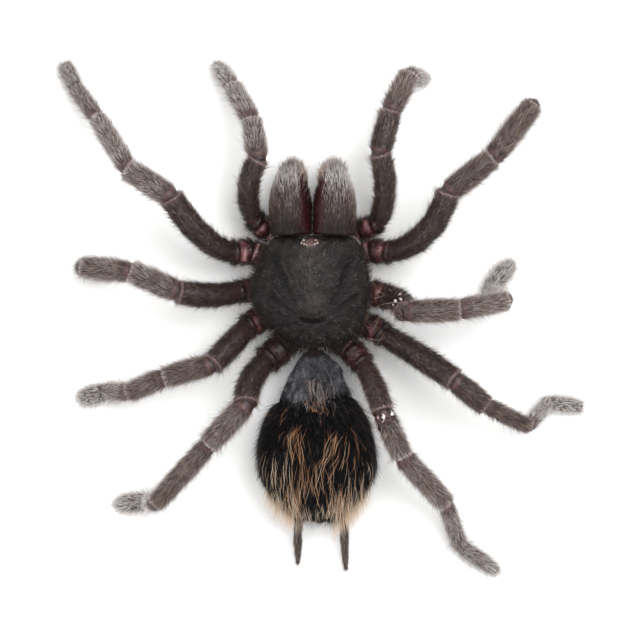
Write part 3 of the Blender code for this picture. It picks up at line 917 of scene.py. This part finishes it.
def make_limb(limb):
    bare, *frosts = LIMBS[limb]
    solids = [None, *[Solid(f"{limb}_{part}") for part in PARTS], None]
    chain = zip(PARTS, (BASE_TONE, *frosts), solids, solids[1:], solids[2:])
    for part, frost, before, solid, after in chain:
        name = f"{limb}_{part}"
        line = limb_line(solid, part, before, after)
        has_ankle = part == "foot" and limb.startswith("leg")
        ankle = line_length(line[: ANKLE_RING + 1]) if has_ankle else None
        rubbed = RUBBED.get(name)
        skin = limb_skin(solid, part, line, ankle, bare, rubbed)
        build = Build(f"{name}_coat", skin, "joint" if part == "base" else "cuticle")
        coat_limb(build, skin, part, frost, ankle, rubbed)
        for piece, span, count, tone in FLAKES_AND_GLINTS:
            if piece == name:
                add_flakes_and_glints(build, skin, span, count, tone)
        if name in TUFTS:
            add_tuft(build, skin, TUFTS[name])
        build.finish({"base": "joint_cuticle", "foot": "foot_fur"}.get(part, "leg_fur"), name)


# --- Carapace and sternum ---

CENTRE = (0.3, -0.5)  # the carapace's middle, from that of its box
FOVEA = (0.3, 4.7)  # the slit on its top: from its middle, and from its back edge
MOUND = (-0.35, -1.35)  # the mound of the eyes: from its middle, and from its front edge
EYES = [  # (x, y, radius) of the eyes on their mound, from its middle
    (-0.42, 0.12, 0.26), (0.42, 0.12, 0.26), (-1.05, 0.38, 0.24), (1.05, 0.38, 0.24),
    (-0.98, -0.34, 0.19), (0.98, -0.34, 0.19), (-1.42, -0.12, 0.2), (1.42, -0.12, 0.2),
]
EYE_HAIRS, FRINGE = 26, 3200
# Furrows of the carapace, from the fovea outwards: start and end beside it, half width and depth.
FURROWS = [
    ((3.6, 3.4), (7.0, 10.9), 0.7, 0.5),
    ((3.9, 2.6), (8.2, 7.6), 0.3, 0.2),
    ((3.4, 1.4), (7.8, 4.4), 0.5, 0.38),
    ((3.5, 0.4), (8.2, 1.6), 0.3, 0.2),
    ((3.1, -0.6), (7.6, -1.4), 0.5, 0.34),
    ((2.6, -1.3), (6.2, -3.4), 0.3, 0.18),
    ((1.8, -1.9), (3.6, -4.4), 0.45, 0.28),
    ((2.9, 4.6), (5.0, 11.0), 0.28, 0.14),
    ((1.6, 2.6), (2.6, 9.0), 0.5, 0.12),
]
SPOKES = 128
SHARES = (*np.linspace(0.01, 0.9, 38), 0.93, 0.96, 0.985, 1.0)  # of the way out, for each top ring
UNDERSIDE = ((1.0, 0.3), (1.0, 0.75), (0.975, 1.0), (0.8, 1.0), (0.4, 1.0), (0.03, 1.0))  # and down
TOP = len(SHARES)
EDGE_HEIGHT = 0.3  # of the rim, above the lowest point
SHIELD_UNDER = 0.1, 0.06  # how far the skin is inside the solid, above and below


def shield_rings(solid, centre):
    """Rings round a centre, over the top, round the edge and under to the middle again."""
    low, sky = solid.low[2], solid.high[2] + 5
    far, edge = 30.0, 0.985  # rays go inside this share of the way out
    angles = -2 * pi * np.arange(SPOKES) / SPOKES
    ways = np.stack([np.cos(angles), np.sin(angles), np.zeros(SPOKES)], axis=1)
    origin = np.array([*centre, low + EDGE_HEIGHT])
    reach = smoothed(np.array([solid.reach(origin, way, far) for way in ways]), 2, wrap=True)
    rings = []
    for share in SHARES:
        ring = origin + ways * (reach * share)[:, None]
        for point in ring:
            inside = origin + (point - origin) * min(1.0, edge / share)
            inside[2] = sky
            point[2] = sky - solid.reach(inside, -UP, far)
        rings.append(ring)
    rings = np.array(rings)
    rings[:, :, 2] = smoothed(smoothed(rings[:, :, 2].T, 2, wrap=True).T, 1, wrap=False)
    rings[:, :, 2] -= SHIELD_UNDER[0]
    last = rings[-1]
    under = []
    for share, drop in UNDERSIDE:
        ring = origin + (last - origin) * share
        ring[:, 2] = last[:, 2] + (low + SHIELD_UNDER[1] - last[:, 2]) * drop
        under.append(ring)
    return np.concatenate([rings, under])


def near_line(x, y, start, end, half):
    """1 on the line between two points, falling to 0 beside it."""
    ax, ay = start
    dx, dy = end[0] - ax, end[1] - ay
    t = np.clip(((x - ax) * dx + (y - ay) * dy) / (dx * dx + dy * dy), 0, 1)
    return hill(np.hypot(x - ax - t * dx, y - ay - t * dy), 0.0, half)


def carapace_furrows(x, y, fovea):
    depth = np.zeros_like(x)
    for side in (-1, 1):
        for start, end, half, deep in FURROWS:
            a, b = [(fovea[0] + side * place[0], fovea[1] + place[1]) for place in (start, end)]
            depth += deep * near_line(x, y, a, b, half)
    return depth


def make_carapace():
    solid = Solid("carapace")
    box_middle = (solid.low + solid.high) / 2
    centre = (box_middle[0] + CENTRE[0], box_middle[1] + CENTRE[1])
    rings = shield_rings(solid, centre)
    fovea = (centre[0] + FOVEA[0], solid.low[1] + FOVEA[1])
    mound = (centre[0] + MOUND[0], solid.high[1] + MOUND[1])
    over = rings[:TOP]
    x, y = over[:, :, 0], over[:, :, 1]
    furrows = carapace_furrows(x, y, fovea)
    over[:, :, 2] -= furrows
    slit_y = fovea[1] + 0.07 * (x - fovea[0]) ** 2
    slit = np.exp(-(((x - fovea[0]) / 2.3) ** 4) - ((y - slit_y) / 0.3) ** 2)
    over[:, :, 2] -= 1.0 * slit
    over[:, :, 2] += 0.18 * hill(y, slit_y - 0.75, 0.4) * hill(x, fovea[0], 2.2)
    eyes = hill(x, mound[0], 1.5) * hill(y, mound[1], 0.8)
    over[:, :, 2] += 0.5 * eyes
    over[:, :, 2] += 0.12 * rough(over, 1.7) + 0.12 * rough(over, 0.75)
    skin = Skin(rings)
    # Painted sheen: head marks the head between the slit and the eyes, which is made paler.
    head = hill(x, fovea[0] - 0.4, 3.4) * rise(y, fovea[1], 3.0)
    # Painted shade: the skin is darker in the furrows and in the slit.
    shade = 0.3 - 0.5 * furrows - 0.6 * slit + 0.22 * head + 0.16 * rough(over, 2.4)
    skin.tone[:TOP] = np.clip(shade, 0.0, 0.8) + 0.6 * rise(eyes, 0.25, 0.5)
    skin.tone[:TOP] += 0.3 * (eyes > 0.2) * rough(over, 0.5, 6.0)
    skin.tone[TOP - 1 : TOP + 1] = 0.85
    skin.tone[TOP + 1 :] = 0.55
    build = Build("carapace_coat", skin, "shield")
    tree = skin.tree()
    for dx, dy, radius in EYES:
        add_eye(build, tree, mound, (dx, dy), radius)
    coat_carapace(build, skin, fovea, mound, furrows, slit)
    add_fringe(build, skin, fovea, mound)
    add_eye_hairs(build, tree, mound)
    build.finish("carapace_cuticle", "carapace")


def add_eye(build, tree, mound, offset, radius):
    """A glassy bead, most of it sunk in the mound."""
    seat = drop_onto(tree, [mound[0] + offset[0]], [mound[1] + offset[1]])[0]
    ball = Skin(seat + UP * radius * 0.3 + ball_rings(9, 14, 0.12) * radius)
    ball.tone[:] = 0.75 if abs(offset[0]) > 0.8 else 0.1
    build.add_skin(ball, "eye")


def coat_carapace(build, skin, fovea, mound, furrows, slit):
    """Short hair that lies outwards and, in the middle, forwards, with glints on the head. Its tones
    carry painted light: a sheen and glints on the head, shade in the furrows, light from the right.
    """
    rng = build.rng
    x, y = skin.rings[:TOP, :, 0], skin.rings[:TOP, :, 1]
    weight, furrow_map = np.zeros_like(skin.tone), np.zeros_like(skin.tone)
    weight[:TOP] = np.clip(1 - 1.3 * slit - 0.8 * furrows, 0.02, 1)
    weight[:TOP] *= 1 - 0.95 * hill(x, mound[0], 1.9) * hill(y, mound[1], 1.0)
    weight[TOP - 1] = 0.0
    furrow_map[:TOP] = furrows
    count = int(skin.areas(weight).sum() * SHIELD_HAIRS)
    spots = Spots(skin, count, rng, weight)
    off = spots.roots - skin.rings[0].mean(axis=0)
    away = rise(np.hypot(off[:, 0], off[:, 1]), 0, 7)[:, None]
    headings = spots.aim(flow=away, lift=(0.2, 0.5), back=away - 1.3, mess=0.3)
    x, y = spots.roots[:, 0], spots.roots[:, 1]
    # Painted sheen: hair on the head is made paler.
    head = hill(x, fovea[0] - 0.5, 3.2) * rise(y, fovea[1] - 1, 2.5)
    head *= 1 - 0.8 * rise(y, mound[1] - 4.5, 3.5)
    patches = spots.read(rough(skin.rings, 1.3, 3.0))
    # Painted shade: hair in the furrows is darker.
    creases = np.clip(spots.read(furrow_map), 0, 1)
    tones = 0.15 + 0.26 * head + 0.36 * patches - 0.4 * creases + rng.normal(0, 0.16, count)
    # Painted light from the right: the hair on the right half is a little paler.
    tones = tones + 0.12 * rise(fovea[1] - y, 0, 2) + 0.06 * rise(x, fovea[0], 4)
    # Painted highlights: the glints are hairs given pale tones, most of them on the head.
    glints = rng.random(count) < (0.12 + 0.42 * head) * np.clip(1 + 2.5 * patches, 0, 2)
    tones = np.where(glints, rng.uniform(0.45, 1.0, count), tones)
    lengths = rng.uniform(0.4, 0.85, count) * np.where(glints, 0.7, 1.0)
    paths = straight(spots.roots - spots.normals * 0.05, headings, lengths)
    widths = rng.uniform(0.05, 0.08, count)
    for material, chosen in (("hair", ~glints), ("velvet", glints)):
        build.add_hairs(paths[chosen], material, widths[chosen], tones[chosen])


def add_fringe(build, skin, fovea, mound):
    """Hairs that stand out round the rim, short in front and long at the back."""
    rng = build.rng
    rim = np.zeros_like(skin.tone)
    rim[TOP - 2 : TOP + 1] = 1.0
    spots = Spots(skin, FRINGE, rng, rim)
    outwards = unit((spots.roots - [*fovea, 0.0]) * [1, 1, 0])
    headings = unit(outwards + 0.2 * spots.normals + rng.normal(0, 0.25, (FRINGE, 3)))
    front = spots.roots[:, 1] > mound[1] - 0.5
    back = rise(fovea[1] + 1.0 - spots.roots[:, 1], 0, 4)
    lengths = rng.uniform(0.6, 1.5, FRINGE) * np.where(front, 0.35, 1.0 + 1.1 * back)
    paths = curved(spots.roots, headings, lengths, np.tile(-UP * 0.3, (FRINGE, 1)))
    tones = rng.uniform(0.08, 0.42, FRINGE) * (1 - 0.4 * back) + 0.35 * front
    build.add_hairs(paths, "hair", widths=(0.045, 0.065), tones=tones)


def add_eye_hairs(build, tree, mound):
    rng = build.rng
    xs = mound[0] + rng.normal(0, 1.1, EYE_HAIRS)
    roots = drop_onto(tree, xs, mound[1] + rng.uniform(-0.8, 1.0, EYE_HAIRS))
    headings = unit(np.array([0, 0.6, 0.45]) + rng.normal(0, 0.5, (EYE_HAIRS, 3)))
    bends = rng.normal(0, 0.8, (EYE_HAIRS, 3))
    paths = curved(roots, headings, rng.uniform(0.35, 0.8, EYE_HAIRS), bends, steps=3)
    build.add_hairs(paths, "hair", tones=rng.uniform(0.6, 0.9, EYE_HAIRS), widths=(0.05, 0.08))


def make_sternum():
    """The plate between the coxae, with short dark hair on its underside."""
    solid = Solid("sternum")
    line = np.array([[0, 0, 1.0], [0, 0, 0.0]]) * (np.ptp(solid.points[:, 2]) - 0.2)
    middle = solid.points.mean(axis=0)
    middle[2] = solid.low[2] + 0.1
    skin = tube_skin(solid, line + middle, 9, 48, under=0.05, ends=(0.0, 0.0), far=9.0)
    skin.tone[:] = 0.3 + 0.2 * rough(skin.rings, 1.2)
    build = Build("sternum_coat", skin, "joint")
    weight = (skin.up < -0.2) * 1.0
    count = int(skin.areas(weight).sum() * STERNUM_HAIRS)
    spots = Spots(skin, count, build.rng, weight)
    headings = spots.aim(flow=0.0, lift=0.5, back=1.0, mess=0.25)
    paths = straight(spots.roots, headings, build.rng.uniform(0.5, 0.9, count))
    build.add_hairs(paths, "hair", widths=(0.05, 0.08), tones=(0.1, 0.4))
    build.finish("joint_cuticle", "sternum")


# --- Chelicerae, fangs and spinnerets ---

JAW_FRONT, JAW_DARK, JAW_RUSTY = 520, 420, 240  # hairs
HOLLOW = 0.33  # how far the inner sides of the jaws are drawn apart
KNUCKLE = (0.0, 0.4, 1.8)  # from a fang's root to its joint, inside the chelicera
KNUCKLE_SWELL = ((0.35, 0.9, 0.9),)  # of the fang there, as (height, place, half width)
SPINNERET_RINGS = ((-0.12, 2.6, 0.35), (-0.12, 5.6, 0.35))


def make_chelicera(name, side):
    """side is -1 for the left and 1 for the right."""
    solid = Solid(name)
    line = solid.middle_line(solid.back_face())
    line[0] = line[0] + BACKWARDS * 0.15
    skin = tube_skin(solid, line, 42, 48, under=0.1, ends=(0.5, 0.2), far=9.0, bulges=(0.04, 0.3))
    share = (skin.p / skin.p[-1])[:, None]
    inner = rise(-side * skin.normals[:, :, 0], 0.3, 0.35)
    skin.rings[:, :, 0] -= side * HOLLOW * inner * (1 - rise(share, 0.45, 0.3))
    skin.tone[:] = 0.15 + 0.85 * inner + 0.12 * rough(skin.rings, 1.4)
    build = Build(f"{name}_coat", skin, "jaw")
    rng = build.rng
    weight = 1 - 0.97 * inner * (1 - rise(share, 0.8, 0.15))
    count = int(skin.areas(weight).sum() * JAW_HAIRS)
    spots = Spots(skin, count, rng, weight)
    roots = spots.roots
    flow = unit(spots.read(skin.flow) * 0.5 - BACKWARDS * 0.5)
    lift = rng.uniform(0.2, 0.5, count)[:, None]
    headings = unit(flow + spots.normals * lift + rng.normal(0, 0.09, (count, 3)))
    here = np.interp(spots.ring, np.arange(len(share)), share[:, 0])
    streaks = rough(roots * [3.5, 0.4, 3.5], 1.0)
    tones = 0.17 + 0.3 * rise(here, 0, 0.35) + 0.43 * rise(here, 0.35, 0.4)
    # Painted light from the right: 0.04 * side makes the right jaw's hair a little paler than the
    # left's.
    tones = tones + 0.04 * side + 0.22 * streaks + rng.normal(0, 0.12, count)
    paths = straight(roots - spots.normals * SUNK, headings, rng.uniform(0.8, 1.5, count))
    build.add_hairs(paths, "hair", widths=(0.05, 0.08), tones=tones)
    add_jaw_fringe(build, skin, inner, share)
    build.finish("chelicera_fur", name)


def add_jaw_fringe(build, skin, inner, share):
    """Longer hairs that stand out in front, and dark and rusty ones between the two."""
    front = rise(share, 0.78, 0.2) * (1 - 0.6 * inner)
    build.grow(
        skin, JAW_FRONT, front, "hair", aim=(0.0, 0.5, -0.9), mess=0.2, bend=(0.0, 0.1, 0.0),
        lengths=(1.0, 2.1), tones=(0.3, 0.8), widths=(0.035, 0.055),
    )
    spots = Spots(skin, JAW_DARK, build.rng, inner * (1 - rise(share, 0.6, 0.3)) + TINY)
    headings = spots.aim(flow=0.0, lift=0.4, back=-1.0, mess=0.3)
    paths = curved(spots.roots, headings, build.rng.uniform(0.4, 0.8, JAW_DARK), spots.normals * 0.1)
    build.add_hairs(paths, "hair", widths=(0.05, 0.08), tones=(0.0, 0.2))
    tip = np.clip(inner * rise(share, 0.7, 0.2), 0, 1) + TINY
    build.grow(
        skin, JAW_RUSTY, tip, "tan_hair", aim=(0.0, 0.3, -1.0), mess=0.2, bend=(0.0, -0.2, 0.0),
        lengths=(0.9, 1.6), tones=(0.5, 1.0), widths=(0.05, 0.075),
    )


def make_fang(name):
    """A curved blade that hangs from its knuckle."""
    solid = Solid(name)
    above_front = np.array([[0.0, 100.0, 3.0]])
    line = solid.middle_line(solid.ring_near(above_front, 8))
    line = np.concatenate([[line[0] + KNUCKLE], line])

    def profile(p, q):
        return 1 + hills(p, KNUCKLE_SWELL)

    skin = tube_skin(solid, line, 32, 18, under=0.0, ends=(2.2, 0.3), far=2.0, profile=profile)
    skin.tone[:] = (1 - skin.depth / skin.depth[-1])[:, None]
    Build(f"{name}_blade", skin, "fang").finish("fang", name)


def make_spinneret(name):
    """A jointed finger under short brown-grey hair."""
    solid = Solid(name)
    line = solid.middle_line(solid.front_face())

    def profile(p, q):
        return 1 + hills(p, SPINNERET_RINGS)

    skin = tube_skin(solid, line, 34, 20, under=0.16, ends=(0.3, 0.3), far=2.0, profile=profile)
    skin.tone[:] = 0.3 + 0.2 * rough(skin.rings, 1.0)
    build = Build(f"{name}_coat", skin, "cuticle")
    count = int(skin.areas().sum() * SPINNERET_HAIRS)
    spots = Spots(skin, count, build.rng)
    headings = spots.aim(flow=1.0, lift=0.35, mess=0.15)
    paths = straight(spots.roots, headings, build.rng.uniform(0.6, 1.1, count))
    tones = 0.52 + build.rng.normal(0, 0.1, count)
    build.add_hairs(paths, "hair", widths=(0.05, 0.08), tones=tones)
    build.finish("spinneret_fur", name)


# --- Abdomen ---

BLACK_HAIRS, FINE_HAIRS, CREST_HAIRS = 11800, 2600, 110
BLOND = 1000  # pale hairs along the lower edges, beside the tail
# Groups of long bristles on the abdomen: how many, the span of their roots to the right of its
# middle line and back from its front, where they point, their lengths and their tones.
BRISTLES = [
    (24, (-4.8, -2.4), (13.6, 17.5), (-0.4, 26.5), (6.0, 10.0), (0.1, 0.7)),
    (10, (-3.8, -0.8), (13.0, 18.0), (-3.4, 26.0), (4.0, 7.5), (0.1, 0.6)),
    (26, (3.0, 7.0), (14.6, 20.2), (-1.4, 27.0), (5.0, 9.0), (0.2, 0.85)),
    (14, (0.8, 5.2), (15.0, 20.0), (-2.4, 25.5), (4.5, 8.0), (0.15, 0.7)),
    (20, (-3.4, 1.6), (18.5, 23.5), (-2.4, 31.5), (5.0, 8.5), (0.2, 0.8)),
    (14, (-3.0, 3.4), (19.5, 25.0), (2.8, 31.5), (4.0, 7.0), (0.2, 0.8)),
    (32, (-9.0, -4.0), (17.0, 23.0), (-4.0, 32.6), (5.0, 9.5), (0.45, 1.0)),
    (16, (5.6, 9.4), (19.0, 24.5), (4.2, 33.0), (4.0, 8.0), (0.45, 1.0)),
    (50, (-6.0, -2.6), (24.0, 28.2), (-2.9, 33.6), (4.0, 6.8), (0.3, 1.0)),
    (56, (1.6, 6.6), (23.4, 28.2), (4.1, 35.4), (4.5, 8.0), (0.3, 1.0)),
    (40, (-3.2, 3.4), (28.0, 30.2), (0.2, 38.0), (1.6, 2.8), (0.7, 1.0)),
    (34, (-1.8, 2.4), (9.8, 12.4), (0.2, 17.5), (2.5, 4.0), (0.05, 0.5)),
    (18, (-9.5, 9.5), (11.0, 18.0), (0.0, 30.0), (2.5, 5.0), (0.1, 0.5)),
]
STRAY = 1.5  # how widely the hairs of a group spread at the place that they point to
PARALLEL = 0.45  # how much each one's goal moves with its root


def make_abdomen():
    solid = Solid("abdomen")
    line = solid.middle_line(solid.front_face())
    skin = tube_skin(solid, line, 64, 72, under=0.75, ends=(0.5, 0.3), far=16.0)
    middle, front = (solid.low[0] + solid.high[0]) / 2, solid.high[1]
    x, y = skin.rings[:, :, 0], skin.rings[:, :, 1]
    fold = front - 9.3 - 0.9 * rise(middle + 0.5 - x, 0, 3.0)
    velvet = rise(y, fold, 0.45)
    wrinkles = 0.16 * np.sin((x - middle) * 2.2 + 1.6 * rough(skin.rings, 3.0)) * velvet
    upper = rise(skin.up, -0.1, 0.5)
    raised = (0.5 + 0.4 * rise(x, middle, 2)) * velvet * upper + wrinkles
    raised = raised + 0.5 * hill(x, middle + 2.6, 1.8) * hill(y, fold - 1.7, 0.8) * upper
    rings = skin.rings + skin.normals * raised[:, :, None]
    rings = rings + skin.normals * (0.35 * rough(skin.rings, 5.0))[:, :, None]
    skin = Skin(rings, skin.p)
    skin.tone[:] = 0.15 + 0.5 * velvet
    build = Build("abdomen_coat", skin, "belly")
    add_velvet(build, skin, velvet, middle)
    build.finish("abdomen_fur", "abdomen")
    fur = Build("abdomen_black_fur")
    tree = skin.tree()
    add_black_fur(fur, skin, tree, velvet)
    fur.finish("abdomen_fur")
    bristles = Build("abdomen_bristles")
    add_bristles(bristles, tree, middle, front)
    add_blond_edges(bristles, skin, middle, front)
    bristles.finish("abdomen_fur")


def add_velvet(build, skin, velvet, middle):
    """Short grey fur on the front, in streaks, dark beside the middle."""
    rng = build.rng
    count = int(skin.areas(velvet).sum() * VELVET_HAIRS)
    spots = Spots(skin, count, rng, velvet + TINY)
    roots, x = spots.roots, spots.roots[:, 0]
    headings = spots.aim(flow=1.0, lift=(0.2, 0.5), mess=0.15)
    streaks = rough(roots * [1.8, 0.3, 1.0], 1.0, 9.0)
    tones = 0.28 + 1.1 * streaks + rng.normal(0, 0.14, count)
    tones = tones - 0.3 * (1 - rise(spots.travelled()[0], 0.8, 2.0))
    tones = tones + hills(x - middle, ((-0.5, 0.9, 1.5), (0.42, -3.2, 1.7), (0.1, 3.5, 1.2)))
    paths = straight(roots - spots.normals * 0.05, headings, rng.uniform(0.6, 1.1, count))
    build.add_hairs(paths, "velvet", widths=(0.05, 0.08), tones=tones)


def add_black_fur(build, skin, tree, velvet):
    """Long black hair that lies back in swirls, and fine paler hairs off the flanks."""
    rng = build.rng
    share = (skin.p / skin.p[-1])[:, None]
    weight = (1 - velvet * 0.98) * rise(share, 0.12, 0.1)
    count = BLACK_HAIRS
    spots = Spots(skin, count, rng, weight)
    normals = spots.normals
    lengths = np.minimum(rng.uniform(1.8, 4.0, count), 0.7 + spots.travelled()[1] * 0.8)
    swirl = spots.read(rough(skin.rings, 4.0, 7.0))
    turned = np.cross(normals, spots.flow) * (0.7 * swirl)[:, None]
    goals = spots.roots + unit(spots.flow + turned + rng.normal(0, 0.2, (count, 3))) * 12
    goals[:, 2] = np.maximum(goals[:, 2], 0.5)
    paths = combed(tree, spots.roots, goals, lengths, rng.uniform(0.25, 1.0, count), steps=2)
    flank = 1 - np.abs(normals[:, 2])
    # Paler on the flanks: a painted sheen.
    tones = 0.25 + 0.5 * flank**2 * rng.random(count) + rng.normal(0, 0.15, count)
    build.add_hairs(paths, "black_hair", widths=(0.08, 0.13), tones=tones)
    fine = weight * skin.flank**2 + TINY
    build.grow(
        skin, FINE_HAIRS, fine, "black_hair", aim=(1.0, 0.8, 0.0), mess=0.3, bend=(0.3, 0.0, 0.0),
        lengths=(1.6, 2.8), tones=(0.7, 1.0), widths=(0.04, 0.06),
    )


def add_bristles(build, tree, middle, front):
    """The groups of long bristles, and a crest of pale hairs over the fold."""
    rng = build.rng
    for count, across, down, goal, length, tone in BRISTLES:
        xs = middle + rng.uniform(*across, count)
        roots = drop_onto(tree, xs, front - rng.uniform(*down, count))
        count = len(roots)
        goals = np.array([middle + goal[0], front - goal[1] - 1.0, 7.0])
        goals = goals + (roots - roots.mean(axis=0)) * [PARALLEL, 0, 0]
        goals = goals + rng.normal(0, STRAY, (count, 3)) * [1, 0.5, 0.5]
        lengths = rng.uniform(*length, count)
        paths = combed(tree, roots, goals, lengths, rng.uniform(0.8, 1.9, count), steps=5)
        sway = np.linspace(0, 1, 6)[None, :, None] ** 2 * rng.normal(0, 0.35, (count, 1, 3))
        tones = rng.uniform(*tone, count)
        build.add_hairs(paths + sway * [1, 1, 0.3], "bristle", widths=(0.05, 0.08), tones=tones)
    xs = middle + rng.uniform(-2.2, 3.0, CREST_HAIRS)
    roots = drop_onto(tree, xs, front - rng.uniform(5.5, 10.5, CREST_HAIRS))
    goals = np.array([middle + 0.3, front - 18.0, 11.0]) + rng.normal(0, 1.6, (CREST_HAIRS, 3))
    lengths = rng.uniform(2.0, 4.5, CREST_HAIRS)
    paths = combed(tree, roots, goals, lengths, rng.uniform(0.7, 1.4, CREST_HAIRS), steps=4)
    build.add_hairs(paths, "hair", widths=(0.04, 0.07), tones=(0.4, 0.85))


def add_blond_edges(build, skin, middle, front):
    rng = build.rng
    x, y = skin.rings[:, :, 0] - middle, front - skin.rings[:, :, 1]
    edge = skin.flank**2 * rise(y, 23.5, 4.0) * rise(np.abs(x), 2.6, 2.0)
    spots = Spots(skin, BLOND, rng, edge + TINY)
    outwards = unit(spots.normals * [1, 1, 0.2])
    headings = unit(outwards * 0.5 + BACKWARDS + rng.normal(0, 0.16, (BLOND, 3)))
    sag = np.tile(BACKWARDS * 0.2, (BLOND, 1))
    paths = curved(spots.roots, headings, rng.uniform(2.2, 4.2, BLOND), sag)
    build.add_hairs(paths, "bristle", tones=rng.uniform(0.7, 1.0, BLOND), widths=(0.04, 0.065))


# --- Stage ---

VIEW_HEIGHT = 0.9  # from the surface to the camera
VIEW_PLANE = 0.007  # height at which the view is as wide as VIEW_WIDTH
VIEW_WIDTH = 0.1152
VIEW_CENTRE = (-0.0004, -0.0006)
SENSOR = 36.0
FLOOR_HALF = 1.5
FLOOR_TONES = [(0.3, (0.93, 0.93, 0.92)), (0.7, (0.95, 0.95, 0.945))]
SKY_STRENGTH = 1.16


def place_object(name, data):
    placed = bpy.data.objects.new(name, data)
    bpy.context.scene.collection.objects.link(placed)
    return placed


def make_floor():
    mesh = bpy.data.meshes.new("floor")
    corners = [(x * FLOOR_HALF, y * FLOOR_HALF, 0) for x, y in ((-1, -1), (1, -1), (1, 1), (-1, 1))]
    mesh.from_pydata(corners, [], [(0, 1, 2, 3)])
    material, tree, shader = new_material("pale_board", 0.85, specular=0.2)
    tree.links.new(ramp(tree, lumps(tree, 60.0), FLOOR_TONES), shader.inputs["Base Color"])
    mesh.materials.append(material)
    place_object("floor", mesh)


def add_light(name, place, size, power):
    data = bpy.data.lights.new(name, "AREA")
    data.size = size
    data.energy = power
    light = place_object(name, data)
    light.location = place
    light.rotation_mode = "QUATERNION"
    light.rotation_quaternion = (-Vector(place)).to_track_quat("-Z", "Y")


def make_studio():
    world = bpy.data.worlds.new("studio")
    world.use_nodes = True
    backdrop = world.node_tree.nodes["Background"]
    backdrop.inputs["Color"].default_value = (1.0, 1.0, 1.0, 1.0)
    backdrop.inputs["Strength"].default_value = SKY_STRENGTH
    bpy.context.scene.world = world
    bpy.context.scene.view_settings.view_transform = "Standard"
    add_light("key", (0.22, 0.20, 0.62), 0.4, 3.0)
    add_light("fill", (-0.5, -0.2, 0.6), 0.5, 1.1)


def make_camera():
    data = bpy.data.cameras.new("camera")
    data.sensor_width = SENSOR
    data.lens = SENSOR * (VIEW_HEIGHT - VIEW_PLANE) / VIEW_WIDTH
    data.clip_start, data.clip_end = 0.01, 10.0
    camera = place_object("camera", data)
    camera.location = (*VIEW_CENTRE, VIEW_HEIGHT)
    bpy.context.scene.camera = camera


make_floor()
make_studio()
make_camera()
for limb in LIMBS:
    make_limb(limb)
make_carapace()
make_sternum()
for side, way in (("left", -1), ("right", 1)):
    make_chelicera(f"chelicera_{side}", way)
for side in ("left", "right"):
    make_fang(f"fang_{side}")
for side in ("left", "right"):
    make_spinneret(f"spinneret_{side}")
make_abdomen()
